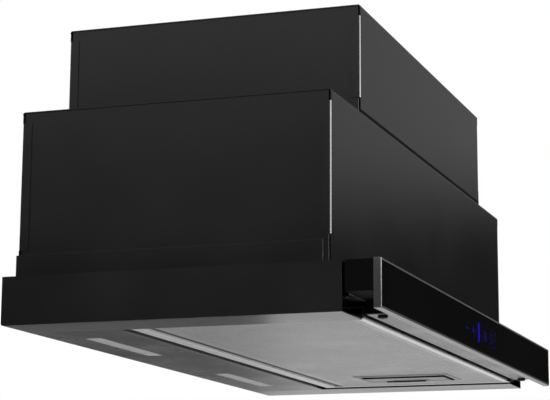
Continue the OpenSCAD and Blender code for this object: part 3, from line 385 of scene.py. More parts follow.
# what both lit signs share: the ink when dark, and its glow
signInk = {
    "cloudMm": 3, "dark": "#0a0630", "pale": "#120c48",
    "glow": ("#1206a8", "#2014d8"), "roughness": (0.05, 0.09),
}
finishes = {
    # satin black coat on sheet steel: dark, with a broad soft reflection
    "black_enamel": coatedSteel(
        "blackPowderCoatOnSteel",
        {
            "peelMm": 0.9, "peelDepthMm": 0.01, "cloudMm": 70,
            "dark": "#141414", "pale": "#181818", "roughness": (0.18, 0.22),
        },
    ),
    # stainless steel, brushed along the hood's width: pale grey streaks
    "brushed_steel": brushedMetal(
        "brushedStainlessSteel",
        {
            "streakLengthMm": 26, "streakWidthMm": 0.35, "dark": "#7c7c7c", "pale": "#929292",
            "roughness": (0.24, 0.34), "strength": 0.25, "depthMm": 0.01,
        },
    ),
    # a shaded copy of the same brushed sheet, in a darker grey: painted shade for the dimmer reflection on
    # the lamp plate
    "grey_brushed_steel": brushedMetal(
        "greyBrushedStainlessSteel",
        {
            "streakLengthMm": 26, "streakWidthMm": 0.35, "dark": "#606060", "pale": "#727272",
            "roughness": (0.24, 0.34), "strength": 0.25, "depthMm": 0.01,
        },
    ),
    # stainless steel strip, polished: a clean bright line
    "polished_steel": brushedMetal(
        "polishedStainlessSteel",
        {
            "streakLengthMm": 40, "streakWidthMm": 0.5, "dark": "#d8d8d8", "pale": "#e6e6e6",
            "roughness": (0.10, 0.18), "strength": 0.1, "depthMm": 0.005,
        },
    ),
    # a lit copy of the same strip, satin and pale from every side: painted highlight for the rear rail's
    # bright reflection
    "satin_steel": brushedMetal(
        "satinLacqueredSteel",
        {
            "streakLengthMm": 40, "streakWidthMm": 0.5, "dark": "#cccccc", "pale": "#d6d6d6",
            "roughness": (0.3, 0.38), "strength": 0.1, "depthMm": 0.005, "metallic": 0.2,
        },
    ),
    # punched stainless sheet: dull bright, rolled along the width
    "perforated_steel": brushedMetal(
        "punchedStainlessSheet",
        {
            "streakLengthMm": 30, "streakWidthMm": 0.4, "dark": "#989898", "pale": "#aaaaaa",
            "roughness": (0.28, 0.38), "strength": 0.2, "depthMm": 0.01, "metallic": 0.12,
        },
    ),
    # soft aluminium mesh: a dim, slightly greasy grey
    "filter_aluminium": mottledMetal(
        "expandedAluminiumMesh",
        {"mottleMm": 3, "dark": "#6c6c6c", "pale": "#a0a0a0", "roughness": (0.35, 0.6), "depthMm": 0.2},
    ),
    # white lacquer: even and bright round the lamps
    "lamp_can": coatedSteel(
        "whiteLacquerOnSteel",
        {
            "peelMm": 0.9, "peelDepthMm": 0.01, "cloudMm": 40,
            "dark": "#e0e0da", "pale": "#e8e8e3", "roughness": (0.3, 0.4),
        },
    ),
    # extruded aluminium, clear anodised: soft silver
    "edge_profile": brushedMetal(
        "anodisedAluminiumProfile",
        {
            "streakLengthMm": 60, "streakWidthMm": 0.6, "dark": "#6e6e6e", "pale": "#7e7e7e",
            "roughness": (0.20, 0.28), "strength": 0.15, "depthMm": 0.006,
        },
    ),
    # moulded nylon, soot black: swallows nearly all light; also the painted shade in the boxes' front joint
    # and round the latch handle
    "deep_black": mouldedPlastic(
        "sootBlackNylon",
        {
            "grainMm": 0.5, "grainDepthMm": 0.02, "specular": 0.06,
            "dark": "#020202", "pale": "#040404", "roughness": (0.6, 0.7),
        },
    ),
    # moulded ABS: deep black and nearly dull; also the painted shade of the strip behind the filter's punched
    # face
    "black_plastic": mouldedPlastic(
        "blackMouldedAbs",
        {
            "grainMm": 0.5, "grainDepthMm": 0.02,
            "dark": "#060607", "pale": "#0a0a0b", "roughness": (0.42, 0.52),
        },
    ),
    # moulded polypropylene: charcoal, waxy sheen
    "dark_plastic": mouldedPlastic(
        "darkPolypropylene",
        {
            "grainMm": 0.7, "grainDepthMm": 0.02,
            "dark": "#242427", "pale": "#2c2c30", "roughness": (0.42, 0.55),
        },
    ),
    # the same in mid grey
    "grey_plastic": mouldedPlastic(
        "greyPolypropylene",
        {
            "grainMm": 0.7, "grainDepthMm": 0.03,
            "dark": "#8b8b8b", "pale": "#959595", "roughness": (0.4, 0.55),
        },
    ),
    # white ABS: clean, slightly glossy
    "white_plastic": mouldedPlastic(
        "whiteAbsHousing",
        {
            "grainMm": 0.6, "grainDepthMm": 0.02,
            "dark": "#dcdcd6", "pale": "#e4e4df", "roughness": (0.35, 0.48),
        },
    ),
    # passivated zinc: silver with a faint cool mottle
    "zinc_steel": mottledMetal(
        "zincPlatedSteel",
        {"mottleMm": 7, "dark": "#a7abb0", "pale": "#c9ccce", "roughness": (0.25, 0.42), "depthMm": 0.02},
    ),
    # acetal: milky white, slippery sheen
    "runner_cage": mouldedPlastic(
        "acetalBallCage",
        {
            "grainMm": 0.5, "grainDepthMm": 0.01,
            "dark": "#c9c9c2", "pale": "#d4d4ce", "roughness": (0.3, 0.42),
        },
    ),
    # black zinc: dark metal with a dull glint
    "black_screws": mottledMetal(
        "blackZincScrew",
        {"mottleMm": 2, "dark": "#121213", "pale": "#1e1e20", "roughness": (0.3, 0.45), "depthMm": 0.01},
    ),
    # solder mask over glass fibre: glossy green
    "circuit_board": mouldedPlastic(
        "greenSolderMask",
        {
            "grainMm": 1.2, "grainDepthMm": 0.02,
            "dark": "#0d4a26", "pale": "#126132", "roughness": (0.25, 0.35),
        },
    ),
    # turned steel: bright, with a fine mottle
    "shaft_steel": mottledMetal(
        "turnedSteel",
        {"mottleMm": 1.5, "dark": "#a2a2a4", "pale": "#bebec0", "roughness": (0.16, 0.28), "depthMm": 0.005},
    ),
    # turned brass: warm yellow
    "brass_nut": mottledMetal(
        "turnedBrass",
        {"mottleMm": 1.5, "dark": "#b08d45", "pale": "#c9a75a", "roughness": (0.2, 0.32), "depthMm": 0.005},
    ),
    # pressure casting: dull silver with a sandy skin
    "cast_aluminium": mottledMetal(
        "dieCastAluminium",
        {"mottleMm": 2.2, "dark": "#8b8d8f", "pale": "#a6a8aa", "roughness": (0.38, 0.55), "depthMm": 0.06},
    ),
    # moulded nitrile rubber: matt black
    "rubber": mouldedPlastic(
        "nitrileRubber",
        {
            "grainMm": 0.8, "grainDepthMm": 0.03,
            "dark": "#141414", "pale": "#1b1b1b", "roughness": (0.7, 0.85),
        },
    ),
    # deep drawn aluminium can: clean silver
    "capacitor_can": mottledMetal(
        "drawnAluminiumCan",
        {"mottleMm": 4, "dark": "#b3b5b7", "pale": "#cacccd", "roughness": (0.25, 0.38), "depthMm": 0.01},
    ),
    # sintered magnet: dark grey, grainy
    "magnet": mottledMetal(
        "sinteredMagnet",
        {"mottleMm": 1, "dark": "#4a4a4c", "pale": "#5c5c5e", "roughness": (0.35, 0.5), "depthMm": 0.02},
    ),
    # toughened glass: a deep black mirror
    "black_glass": blackGlass(
        "backPaintedGlass",
        {"cloudMm": 120, "dark": "#0a0a0b", "pale": "#0e0e0f", "roughness": (0.03, 0.05)},
    ),
    # opal acrylic: a milky window
    "lamp_diffuser": frostedAcrylic(
        "frostedAcrylic",
        {
            "grainMm": 0.4, "grainDepthMm": 0.02, "cloudMm": 20,
            "dark": "#acacac", "pale": "#b6b6b6", "roughness": (0.38, 0.5),
        },
    ),
    # printed mask, lit from behind: the blue main sign and its dim neighbours
    "touch_ink": litInk("blueLitInk", {**signInk, "strength": 0.6}),
    "touch_ink_dim": litInk("dimBlueLitInk", {**signInk, "strength": 0.12}),
}
print("materials:", len(finishes), "finishes")


def dressNode(name):
    mesh = frame["nodes"][name].data
    mesh.materials.clear()
    mesh.materials.append(finishes[slotOf[name]])


for nodeName in bodyOf:
    dressNode(nodeName)
print("cad nodes: dressed", len(bodyOf))


def newPiece(name, mesh):
    piece = bpy.data.objects.new(name, mesh)
    bpy.context.scene.collection.objects.link(piece)
    return piece


def fromWork(name, work, finish):
    # a bmesh becomes a piece, its doubles merged and its faces outwards
    bmesh.ops.remove_doubles(work, verts=work.verts, dist=pieceWeldMm * mm)
    bmesh.ops.recalc_face_normals(work, faces=work.faces)
    mesh = bpy.data.meshes.new(name)
    work.to_mesh(mesh)
    work.free()
    mesh.materials.append(finish)
    return newPiece(name, mesh)


def applyModifiers(piece):
    bpy.context.view_layer.update()
    graph = bpy.context.evaluated_depsgraph_get()
    evaluated = piece.evaluated_get(graph)
    mesh = bpy.data.meshes.new_from_object(evaluated, preserve_all_data_layers=True, depsgraph=graph)
    piece.modifiers.clear()
    piece.data = mesh
    return mesh


def bake(piece, smoothDegrees=32):
    # the modifiers' result as a plain mesh; bends shade softly and broad faces stay flat
    mesh = applyModifiers(piece)
    mesh.shade_smooth()
    mesh.set_sharp_from_angle(angle=math.radians(smoothDegrees))
    flatten = piece.modifiers.new("flatFaces", "WEIGHTED_NORMAL")
    flatten.weight = 100
    flatten.keep_sharp = True
    applyModifiers(piece)
    return piece


def standIn(piece, *nodes):
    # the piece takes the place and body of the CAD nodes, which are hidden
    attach(piece, bodyOf[nodes[0]])
    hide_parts(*nodes)


def easeEdges(piece, edgeMm, steps=2, angleDegrees=35):
    bevel = piece.modifiers.new("easedEdges", "BEVEL")
    bevel.width = edgeMm * mm
    bevel.segments = steps
    bevel.limit_method = "ANGLE"
    bevel.angle_limit = math.radians(angleDegrees)
    bevel.use_clamp_overlap = True


def camel(node):
    first, *rest = node.split("_")
    return first + "".join(word.capitalize() for word in rest)


# a node whose finish differs from its slot's, because the photograph shows it so
ownFinish = {
    "front_crossmember": "deep_black",
    # the lamp plate and the control cover take the shaded copy of the brushed sheet: painted shade
    "lamp_plate": "grey_brushed_steel",
    "control_cover": "grey_brushed_steel",
    "runner_inner_left": "black_screws",
    "runner_inner_right": "black_screws",
}


# faces that lie this flat to each other are one face
flatDegrees = 0.6


def softened(node, edgeMm):
    # the same shape as the node, with the edges that a press, mould or file leaves
    work = bmesh.new()
    work.from_mesh(frame["nodes"][node].data)
    bmesh.ops.remove_doubles(work, verts=work.verts, dist=nodeWeldMm * mm)
    flat = math.radians(flatDegrees)
    bmesh.ops.dissolve_limit(work, angle_limit=flat, verts=work.verts, edges=work.edges)
    piece = fromWork(camel(node), work, finishes[ownFinish.get(node, slotOf[node])])
    easeEdges(piece, edgeMm)
    standIn(bake(piece), node)


# how far each visible edge is eased, in mm
easedEdges = {
    "base_frame": 0.4,
    "skirt": 0.15,
    "lower_wrap": 0.3,
    "lower_side_left": 0.3,
    "lower_side_right": 0.3,
    "upper_wrap": 0.3,
    "upper_side_left": 0.3,
    "upper_side_right": 0.3,
    "lamp_plate": 0.4,
    "lamp_lens_left": 0.25,
    "lamp_lens_right": 0.25,
    "panel_frame": 0.4,
    "front_crossmember": 0.4,
    "control_cover": 0.4,
    "visor_sheet": 0.4,
    "latch_housing": 0.3,
    "filter_handle": 0.5,
    "power_box": 0.6,
    "power_box_lid": 0.5,
    "outlet_collar": 0.4,
    "cable_gland": 0.4,
    "flap_front": 0.4,
    "flap_rear": 0.4,
    "volute_left": 0.5,
    "volute_right": 0.5,
    "motor_housing": 0.5,
    "motor_bracket": 0.4,
    "capacitor": 0.6,
    "runner_outer_left": 0.3,
    "runner_outer_right": 0.3,
    "runner_inner_left": 0.3,
    "runner_inner_right": 0.3,
    "position_sensor": 0.4,
    "sensor_magnet": 0.4,
}
for nodeName, edgeMm in easedEdges.items():
    softened(nodeName, edgeMm)
print("eased edges:", len(easedEdges), "pieces")


def addBlock(work, low, high):
    # a closed box between its lowest and highest corner
    middle = [(a + b) / 2 for a, b in zip(low, high)]
    size = [b - a for a, b in zip(low, high)]
    place = Matrix.Translation(middle) @ Matrix.Diagonal((*size, 1.0))
    bmesh.ops.create_cube(work, size=1.0, matrix=place)


def addPrism(work, outline, z0, z1):
    # a closed prism over an outline in the XY plane
    lower = [work.verts.new((x, y, z0)) for x, y in outline]
    upper = [work.verts.new((x, y, z1)) for x, y in outline]
    work.faces.new(lower[::-1])
    work.faces.new(upper)
    for i in range(len(outline)):
        j = (i + 1) % len(outline)
        work.faces.new((lower[i], lower[j], upper[j], upper[i]))


def addRing(work, outer, inner, z0, z1):
    # a flat rectangular ring, made of four closed strips that meet in mitres
    (x0, y0), (x1, y1) = outer
    (u0, v0), (u1, v1) = inner
    addPrism(work, [(x0, y0), (x1, y0), (u1, v0), (u0, v0)], z0, z1)
    addPrism(work, [(x1, y0), (x1, y1), (u1, v1), (u1, v0)], z0, z1)
    addPrism(work, [(x1, y1), (x0, y1), (u0, v1), (u1, v1)], z0, z1)
    addPrism(work, [(x0, y1), (x0, y0), (u0, v0), (u0, v1)], z0, z1)


# the cassette's rim: three polished rails, one at the rear in a pale lit copy of the steel whose brightness
# is a painted highlight, the two hooks at the left end, and a black strip behind the punched face, painted
# shade for the recess there
filterRim = {
    "railMm": 5.0,
    "rearRailMm": 10.5,
    "mitreMm": 0.25,
    "edgeMm": 0.45,
    "edgeSteps": 3,
    "hookPitchMm": 110.0,
    "hookWideMm": 20.0,
    "hookFootMm": 0.5,
    "hookHeadMm": 2.0,
    "hookLapMm": 0.1,
    "stripWideMm": 8.0,
    "stripUpMm": 1.8,
    "stripThickMm": 0.6,
    "stripLapMm": 0.2,
    "stripEdgeMm": 0.1,
}


def makeFilterRim(look):
    low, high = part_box("filter_frame")
    latchLow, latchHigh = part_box("latch_housing")
    # the hooks stand out to the left, so the rim starts where the right side mirrors it
    x1 = high.x
    x0 = -x1
    y0, y1 = low.y, high.y
    rail, rear = look["railMm"] * mm, look["rearRailMm"] * mm
    gap = look["mitreMm"] * mm / 2
    u0, u1, v0, v1 = x0 + rail, x1 - rail, y0 + rail, y1 - rear
    work = bmesh.new()
    addPrism(work, [(x0 + gap, y0), (x1 - gap, y0), (u1 - gap, v0), (u0 + gap, v0)], low.z, high.z)
    addPrism(work, [(x1, y0 + gap), (x1, y1 - gap), (u1, v1 - gap), (u1, v0 + gap)], low.z, high.z)
    addPrism(work, [(x0, y1 - gap), (x0, y0 + gap), (u0, v0 + gap), (u0, v1 - gap)], low.z, high.z)
    middle = (latchLow.y + latchHigh.y) / 2
    half = look["hookWideMm"] * mm / 2
    foot, head = low.z + look["hookFootMm"] * mm, low.z + look["hookHeadMm"] * mm
    for side in (-1, 1):
        y = middle + side * look["hookPitchMm"] * mm / 2
        addBlock(work, (low.x, y - half, foot), (x0 + look["hookLapMm"] * mm, y + half, head))
    rails = fromWork("filterRails", work, finishes["polished_steel"])
    easeEdges(rails, look["edgeMm"], look["edgeSteps"])
    standIn(bake(rails), "filter_frame")
    work = bmesh.new()
    addPrism(work, [(x1 - gap, y1), (x0 + gap, y1), (u0 + gap, v1), (u1 - gap, v1)], low.z, high.z)
    # the rear rail's pale lit copy of the steel is a painted highlight
    rearRail = fromWork("filterRearRail", work, finishes["satin_steel"])
    easeEdges(rearRail, look["edgeMm"], look["edgeSteps"])
    standIn(bake(rearRail), "filter_frame")
    # the black strip is painted shade, dark where the recess behind the punched face lies in shadow
    work = bmesh.new()
    z0 = low.z + look["stripUpMm"] * mm
    z1 = z0 + look["stripThickMm"] * mm
    lap = look["stripLapMm"] * mm
    addBlock(work, (u0 - lap, v1 - look["stripWideMm"] * mm, z0), (u1 + lap, v1 + lap, z1))
    strip = fromWork("filterDarkStrip", work, finishes["black_plastic"])
    easeEdges(strip, look["stripEdgeMm"])
    standIn(bake(strip), "filter_frame")


# a soot black rim along the latch handle's near and front edges and its finger slot, painted shade for the
# gaps there, seen as a dark outline: outlines in mm from the handle's low corner
latchRim = {
    "outlines": [
        [(0.1, 0.1), (35.4, 0.1), (35.4, 2.5), (2.6, 2.5), (2.6, 81.0), (0.1, 81.0)],
        [(37.2, 28.7), (39.4, 28.7), (39.4, 67.7), (37.2, 67.7)],
    ],
    "proudMm": 1.1,
    "sunkMm": 0.1,
    "edgeMm": 0.3,
}


def makeLatchShadeRim(look):
    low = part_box("filter_handle")[0]
    work = bmesh.new()
    for outline in look["outlines"]:
        points = [(low.x + x * mm, low.y + y * mm) for x, y in outline]
        addPrism(work, points, low.z - look["proudMm"] * mm, low.z + look["sunkMm"] * mm)
    # the rim is painted shade, soot black where the gaps round the handle lie in shadow
    rim = fromWork("latchRim", work, finishes["deep_black"])
    easeEdges(rim, look["edgeMm"])
    bake(rim)
    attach(rim, bodyOf["filter_handle"])


# a soot black strip in the joint where the two boxes' fronts meet: painted shade for the gap there
frontJoint = {"highMm": 2.4, "proudMm": 0.15, "deepMm": 0.5, "endMm": 0.8, "edgeMm": 0.1}


def makeFrontJointShade(look):
    upperLow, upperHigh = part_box("upper_wrap")
    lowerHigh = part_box("lower_wrap")[1]
    inset = look["endMm"] * mm
    work = bmesh.new()
    start = (upperLow.x + inset, upperLow.y - look["proudMm"] * mm, lowerHigh.z)
    end = (upperHigh.x - inset, upperLow.y + look["deepMm"] * mm, lowerHigh.z + look["highMm"] * mm)
    addBlock(work, start, end)
    # the strip is painted shade, soot black where the joint lies in shadow
    joint = fromWork("frontJoint", work, finishes["deep_black"])
    easeEdges(joint, look["edgeMm"])
    bake(joint)
    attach(joint, bodyOf["upper_wrap"])


makeFrontJointShade(frontJoint)
makeFilterRim(filterRim)
makeLatchShadeRim(latchRim)
# the front joint's strip, the dark strip and the latch rim are painted shade
print("trim: the front joint, four filter rails, the dark strip and the latch rim")


def openTree(name, inputs):
    # an empty geometry tree with named inputs, and its two end nodes
    tree = bpy.data.node_groups.new(name, "GeometryNodeTree")
    tree.interface.new_socket(name="Geometry", in_out="INPUT", socket_type="NodeSocketGeometry")
    tree.interface.new_socket(name="Geometry", in_out="OUTPUT", socket_type="NodeSocketGeometry")
    for label, kind in inputs.items():
        tree.interface.new_socket(name=label, in_out="INPUT", socket_type=kind)
    start = tree.nodes.new("NodeGroupInput")
    end = tree.nodes.new("NodeGroupOutput")
    return tree, start, end


def runTree(piece, tree, values):
    # inputs are set by the socket's identifier before the piece is first evaluated
    modifier = piece.modifiers.new(tree.name, "NODES")
    modifier.node_group = tree
    for socket in tree.interface.items_tree:
        if socket.item_type == "SOCKET" and socket.in_out == "INPUT" and socket.name in values:
            modifier[socket.identifier] = values[socket.name]
    return bake(piece)


def workOut(tree, values, steps):
    # arithmetic: each step names its result, the operation and its terms, numbers or names of earlier values
    for result, operation, *terms in steps:
        inputs = {i: values.get(term, term) for i, term in enumerate(terms)}
        values[result] = addNode(tree, "ShaderNodeMath", {"operation": operation}, inputs).outputs[0]


# the punched face: round holes in staggered rows, closer than the eye can count from a step away
# spareColumns widens the field before its cells are counted, lapColumns and lapRows are how far the border
# lies under the outermost cells
punchedFace = {
    "pitchMm": 4.7, "holeMm": 2.3, "holeSides": 8, "sheetMm": 0.6, "fieldInsetMm": 0.03,
    "marginMm": 4.0, "railLapMm": 3.0, "latchRimMm": 5.0, "latchLipMm": 2.0,
    "spareColumns": 1.2, "lapColumns": 0.6, "lapRows": 0.5, "weldMm": 0.01,
}


def cellObject(name, look, withHole):
    # one cell of the pattern, top and bottom skin, with the wall of its hole
    pitch = look["pitchMm"] * mm
    step = pitch * math.sqrt(3) / 2
    half = look["sheetMm"] * mm / 2 - look["fieldInsetMm"] * mm
    corners = [(-0.5, -0.5), (0, -0.5), (0.5, -0.5), (0.5, 0.5), (0, 0.5), (-0.5, 0.5)]
    count = look["holeSides"]
    turns = [2 * math.pi * (i + 0.5) / count for i in range(count)]
    radius = look["holeMm"] * mm / 2
    work = bmesh.new()
    skins = []
    for z in (-half, half):
        rim = [work.verts.new((x * pitch, y * step, z)) for x, y in corners]
        if not withHole:
            work.faces.new(rim if z > 0 else rim[::-1])
            continue
        hole = [work.verts.new((radius * math.cos(a), radius * math.sin(a), z)) for a in turns]
        skins.append(hole)
        edges = []
        for ring in (rim, hole):
            for a, b in zip(ring, ring[1:] + ring[:1]):
                edges.append(work.edges.new((a, b)))
        filled = bmesh.ops.triangle_fill(work, use_beauty=True, use_dissolve=False, edges=edges)
        for face in filled["geom"]:
            if isinstance(face, bmesh.types.BMFace):
                face.normal_update()
                if face.normal.z * z < 0:
                    face.normal_flip()
    if withHole:
        lower, upper = skins
        for i in range(count):
            j = (i + 1) % count
            work.faces.new((lower[j], lower[i], upper[i], upper[j]))
    mesh = bpy.data.meshes.new(name)
    work.to_mesh(mesh)
    work.free()
    return newPiece(name, mesh)


def punchedTree():
    # inputs in metres: the grid of cells, the zone round the latch that stays open, the finish
    kinds = {
        "Holed Cell": "NodeSocketObject", "Plain Cell": "NodeSocketObject", "Pitch": "NodeSocketFloat",
        "Row Step": "NodeSocketFloat", "Columns": "NodeSocketInt", "Rows": "NodeSocketInt",
        "Centre": "NodeSocketVector", "Latch Centre": "NodeSocketVector", "Latch Half": "NodeSocketVector",
        "Weld": "NodeSocketFloat", "Finish": "NodeSocketMaterial",
    }
    tree, start, end = openTree("punchedSheet", kinds)
    given = start.outputs
    values = {name: given[name] for name in kinds}
    # each node reads the place anew: before the shift in the offset, and shifted in what follows
    place = addNode(tree, "GeometryNodeInputPosition").outputs[0]
    vectors = {"place": place, "latch": given["Latch Centre"], "half": given["Latch Half"]}
    for label, vector in vectors.items():
        split = addNode(tree, "ShaderNodeSeparateXYZ", inputs={0: vector})
        for axis in "XY":
            values[label + axis] = split.outputs[axis]
    # the grid, and half a cell between odd and even rows
    workOut(
        tree,
        values,
        [
            ("gapsX", "SUBTRACT", "Columns", 1.0),
            ("wide", "MULTIPLY", "Pitch", "gapsX"),
            ("gapsY", "SUBTRACT", "Rows", 1.0),
            ("deep", "MULTIPLY", "Row Step", "gapsY"),
            ("halfDeep", "DIVIDE", "deep", 2.0),
            ("fromFront", "ADD", "placeY", "halfDeep"),
            ("rowPlace", "DIVIDE", "fromFront", "Row Step"),
            ("row", "ROUND", "rowPlace"),
            ("odd", "MODULO", "row", 2.0),
            ("halfOdd", "DIVIDE", "odd", 2.0),
            ("cellShift", "SUBTRACT", "halfOdd", 0.25),
            ("shift", "MULTIPLY", "Pitch", "cellShift"),
        ],
    )
    # how far each cell is outside the latch zone, in cells, and whether it is the last of its row or column
    for axis, cell, count in (("X", "Pitch", "Columns"), ("Y", "Row Step", "Rows")):
        workOut(
            tree,
            values,
            [
                ("off", "SUBTRACT", "place" + axis, "latch" + axis),
                ("far", "ABSOLUTE", "off"),
                ("over", "SUBTRACT", "far", "half" + axis),
                ("cells" + axis, "DIVIDE", "over", cell),
                ("fromMiddle", "ABSOLUTE", "place" + axis),
                ("cellsOut", "DIVIDE", "fromMiddle", cell),
                ("halfCount", "DIVIDE", count, 2.0),
                ("lastStart", "SUBTRACT", "halfCount", 1.0),
                ("last" + axis, "GREATER_THAN", "cellsOut", "lastStart"),
            ],
        )
    workOut(
        tree,
        values,
        [
            ("away", "MAXIMUM", "cellsX", "cellsY"),
            ("inside", "LESS_THAN", "away", -0.5),
            ("touching", "LESS_THAN", "away", 0.5),
            ("last", "MAXIMUM", "lastX", "lastY"),
            ("plain", "MAXIMUM", "touching", "last"),
            ("holed", "SUBTRACT", 1.0, "plain"),
        ],
    )
    layout = {
        "Size X": values["wide"], "Size Y": values["deep"],
        "Vertices X": given["Columns"], "Vertices Y": given["Rows"],
    }
    grid = addNode(tree, "GeometryNodeMeshGrid", inputs=layout)
    offset = addNode(tree, "ShaderNodeCombineXYZ", inputs={"X": values["shift"]})
    moved = {"Geometry": grid.outputs["Mesh"], "Offset": offset.outputs[0]}
    staggered = addNode(tree, "GeometryNodeSetPosition", inputs=moved)
    dropped = {"Geometry": staggered.outputs["Geometry"], "Selection": values["inside"]}
    kept = addNode(tree, "GeometryNodeDeleteGeometry", {"domain": "POINT", "mode": "ALL"}, dropped)
    both = addNode(tree, "GeometryNodeJoinGeometry")
    for label, chosen in (("Holed Cell", "holed"), ("Plain Cell", "plain")):
        cell = addNode(tree, "GeometryNodeObjectInfo", inputs={"Object": given[label], "As Instance": True})
        spots = {
            "Points": kept.outputs["Geometry"], "Selection": values[chosen],
            "Instance": cell.outputs["Geometry"],
        }
        cells = addNode(tree, "GeometryNodeInstanceOnPoints", inputs=spots)
        tree.links.new(cells.outputs["Instances"], both.inputs["Geometry"])
    centred = {"Geometry": both.outputs["Geometry"], "Translation": given["Centre"]}
    placed = addNode(tree, "GeometryNodeTransform", inputs=centred)
    solid = addNode(tree, "GeometryNodeRealizeInstances", inputs={"Geometry": placed.outputs["Geometry"]})
    near = {"Geometry": solid.outputs["Geometry"], "Distance": given["Weld"]}
    joined = addNode(tree, "GeometryNodeMergeByDistance", inputs=near)
    whole = addNode(tree, "GeometryNodeJoinGeometry")
    tree.links.new(given["Geometry"], whole.inputs["Geometry"])
    tree.links.new(joined.outputs["Geometry"], whole.inputs["Geometry"])
    dressed = {"Geometry": whole.outputs["Geometry"], "Material": given["Finish"]}
    finished = addNode(tree, "GeometryNodeSetMaterial", inputs=dressed)
    tree.links.new(finished.outputs["Geometry"], end.inputs["Geometry"])
    return tree


def makePunchedFace(look):
    low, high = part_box("filter_face")
    latchLow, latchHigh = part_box("latch_housing")
    pitch = look["pitchMm"] * mm
    step = pitch * math.sqrt(3) / 2
    lap, margin = look["railLapMm"] * mm, look["marginMm"] * mm
    width = high.x - low.x - 2 * (lap + margin)
    # the face is lapped by the rails on three sides and ends free at the rear
    depth = high.y - low.y - lap - 2 * margin
    columns = int((width + look["spareColumns"] * pitch) / pitch)
    rows = int((depth + step) / step)
    centre = Vector(((low.x + high.x) / 2, (low.y + lap + high.y) / 2, (low.z + high.z) / 2))
    insideX = (columns / 2 - look["lapColumns"]) * pitch
    insideY = (rows / 2 - look["lapRows"]) * step
    work = bmesh.new()
    inner = ((centre.x - insideX, centre.y - insideY), (centre.x + insideX, centre.y + insideY))
    addRing(work, ((low.x, low.y), (high.x, high.y)), inner, low.z, high.z)
    # a plain rim lies round the latch housing
    rim = look["latchRimMm"] * mm
    lip = look["latchLipMm"] * mm
    hole = ((latchLow.x + lip, latchLow.y + lip), (latchHigh.x - lip, latchHigh.y - lip))
    outer = ((hole[0][0] - rim, hole[0][1] - rim), (hole[1][0] + rim, hole[1][1] + rim))
    addRing(work, outer, hole, low.z, high.z)
    face = fromWork("punchedFace", work, finishes["perforated_steel"])
    cells = [cellObject("holedCell", look, True), cellObject("plainCell", look, False)]
    latchCentre = Vector(((outer[0][0] + outer[1][0]) / 2, (outer[0][1] + outer[1][1]) / 2, 0)) - centre
    values = {
        "Holed Cell": cells[0], "Plain Cell": cells[1], "Pitch": pitch, "Row Step": step,
        "Columns": columns, "Rows": rows, "Centre": centre, "Latch Centre": latchCentre,
        "Latch Half": ((outer[1][0] - outer[0][0]) / 2, (outer[1][1] - outer[0][1]) / 2, 0),
        "Weld": look["weldMm"] * mm, "Finish": finishes["perforated_steel"],
    }
    runTree(face, punchedTree(), values)
    for cell in cells:
        bpy.data.objects.remove(cell)
    standIn(face, "filter_face")
    return columns * rows, len(face.data.polygons)


cellCount, faceCount = makePunchedFace(punchedFace)
print("punched face:", cellCount, "cells,", faceCount, "faces")


# every screw set: the way its heads look, and its sizes in mm
screwSets = {
    "cover_screws": {"out": (0, 0, -1), "headMm": 7.5, "headHighMm": 2.0, "shankMm": 3.2, "hexMm": 3.0},
    "collar_screws": {"out": (0, 0, 1), "headMm": 6.8, "headHighMm": 2.0, "shankMm": 3.0, "hexMm": 3.0},
    "volute_screws": {"out": (-1, 0, 0), "headMm": 6.0, "headHighMm": 2.0, "shankMm": 3.2, "hexMm": 2.5},
    "motor_screws": {"out": (1, 0, 0), "headMm": 8.0, "headHighMm": 2.0, "shankMm": 3.2, "hexMm": 4.0},
}


# what all the screws share: the tip as a share of the shank, the dome as shares of the head's radius and
# height, and the socket's floor as a share of the height
screwShape = {
    "sides": 24,
    "tip": 0.6,
    "tipMm": 0.6,
    "roundMm": 0.2,
    "dome": [(1.0, 0.55), (0.93, 0.85), (0.78, 1.0)],
    "socketFloor": 0.35,
}


def screwModel(name, look, length, finish):
    # turned round the Z axis: a shank, a domed head and a hexagon socket
    shape = screwShape
    count = shape["sides"]
    head, shank, hexSide = look["headMm"] * mm / 2, look["shankMm"] * mm / 2, look["hexMm"] * mm / 2
    high, edge = look["headHighMm"] * mm, shape["roundMm"] * mm
    turns = [2 * math.pi * i / count for i in range(count)]
    profile = [(shank * shape["tip"], -length), (shank, -length + shape["tipMm"] * mm), (shank, 0)]
    profile += [(head - edge, 0), (head, edge)]
    profile += [(head * across, high * up) for across, up in shape["dome"]]
    rings = [([radius] * count, z) for radius, z in profile]
    hexagon = [hexSide / math.cos((turn % (math.pi / 3)) - math.pi / 6) for turn in turns]
    rings += [(hexagon, high), (hexagon, high * shape["socketFloor"])]
    work = bmesh.new()
    loops = []
    for radii, z in rings:
        loops.append([work.verts.new((r * math.cos(t), r * math.sin(t), z)) for r, t in zip(radii, turns)])
    for a, b in zip(loops, loops[1:]):
        for i in range(count):
            j = (i + 1) % count
            work.faces.new((a[i], a[j], b[j], b[i]))
    work.faces.new(loops[0][::-1])
    work.faces.new(loops[-1])
    return fromWork(name, work, finish)


def separateSolids(node):
    # the lowest and highest corner of each separate solid in a node
    work = bmesh.new()
    work.from_mesh(frame["nodes"][node].data)
    bmesh.ops.remove_doubles(work, verts=work.verts, dist=nodeWeldMm * mm)
    left = set(work.verts)
    boxes = []
    while left:
        stack = [left.pop()]
        found = []
        while stack:
            vert = stack.pop()
            found.append(vert.co.copy())
            for edge in vert.link_edges:
                other = edge.other_vert(vert)
                if other in left:
                    left.discard(other)
                    stack.append(other)
        low = [min(place[k] for place in found) for k in range(3)]
        high = [max(place[k] for place in found) for k in range(3)]
        boxes.append((low, high))
    work.free()
    return sorted(boxes)


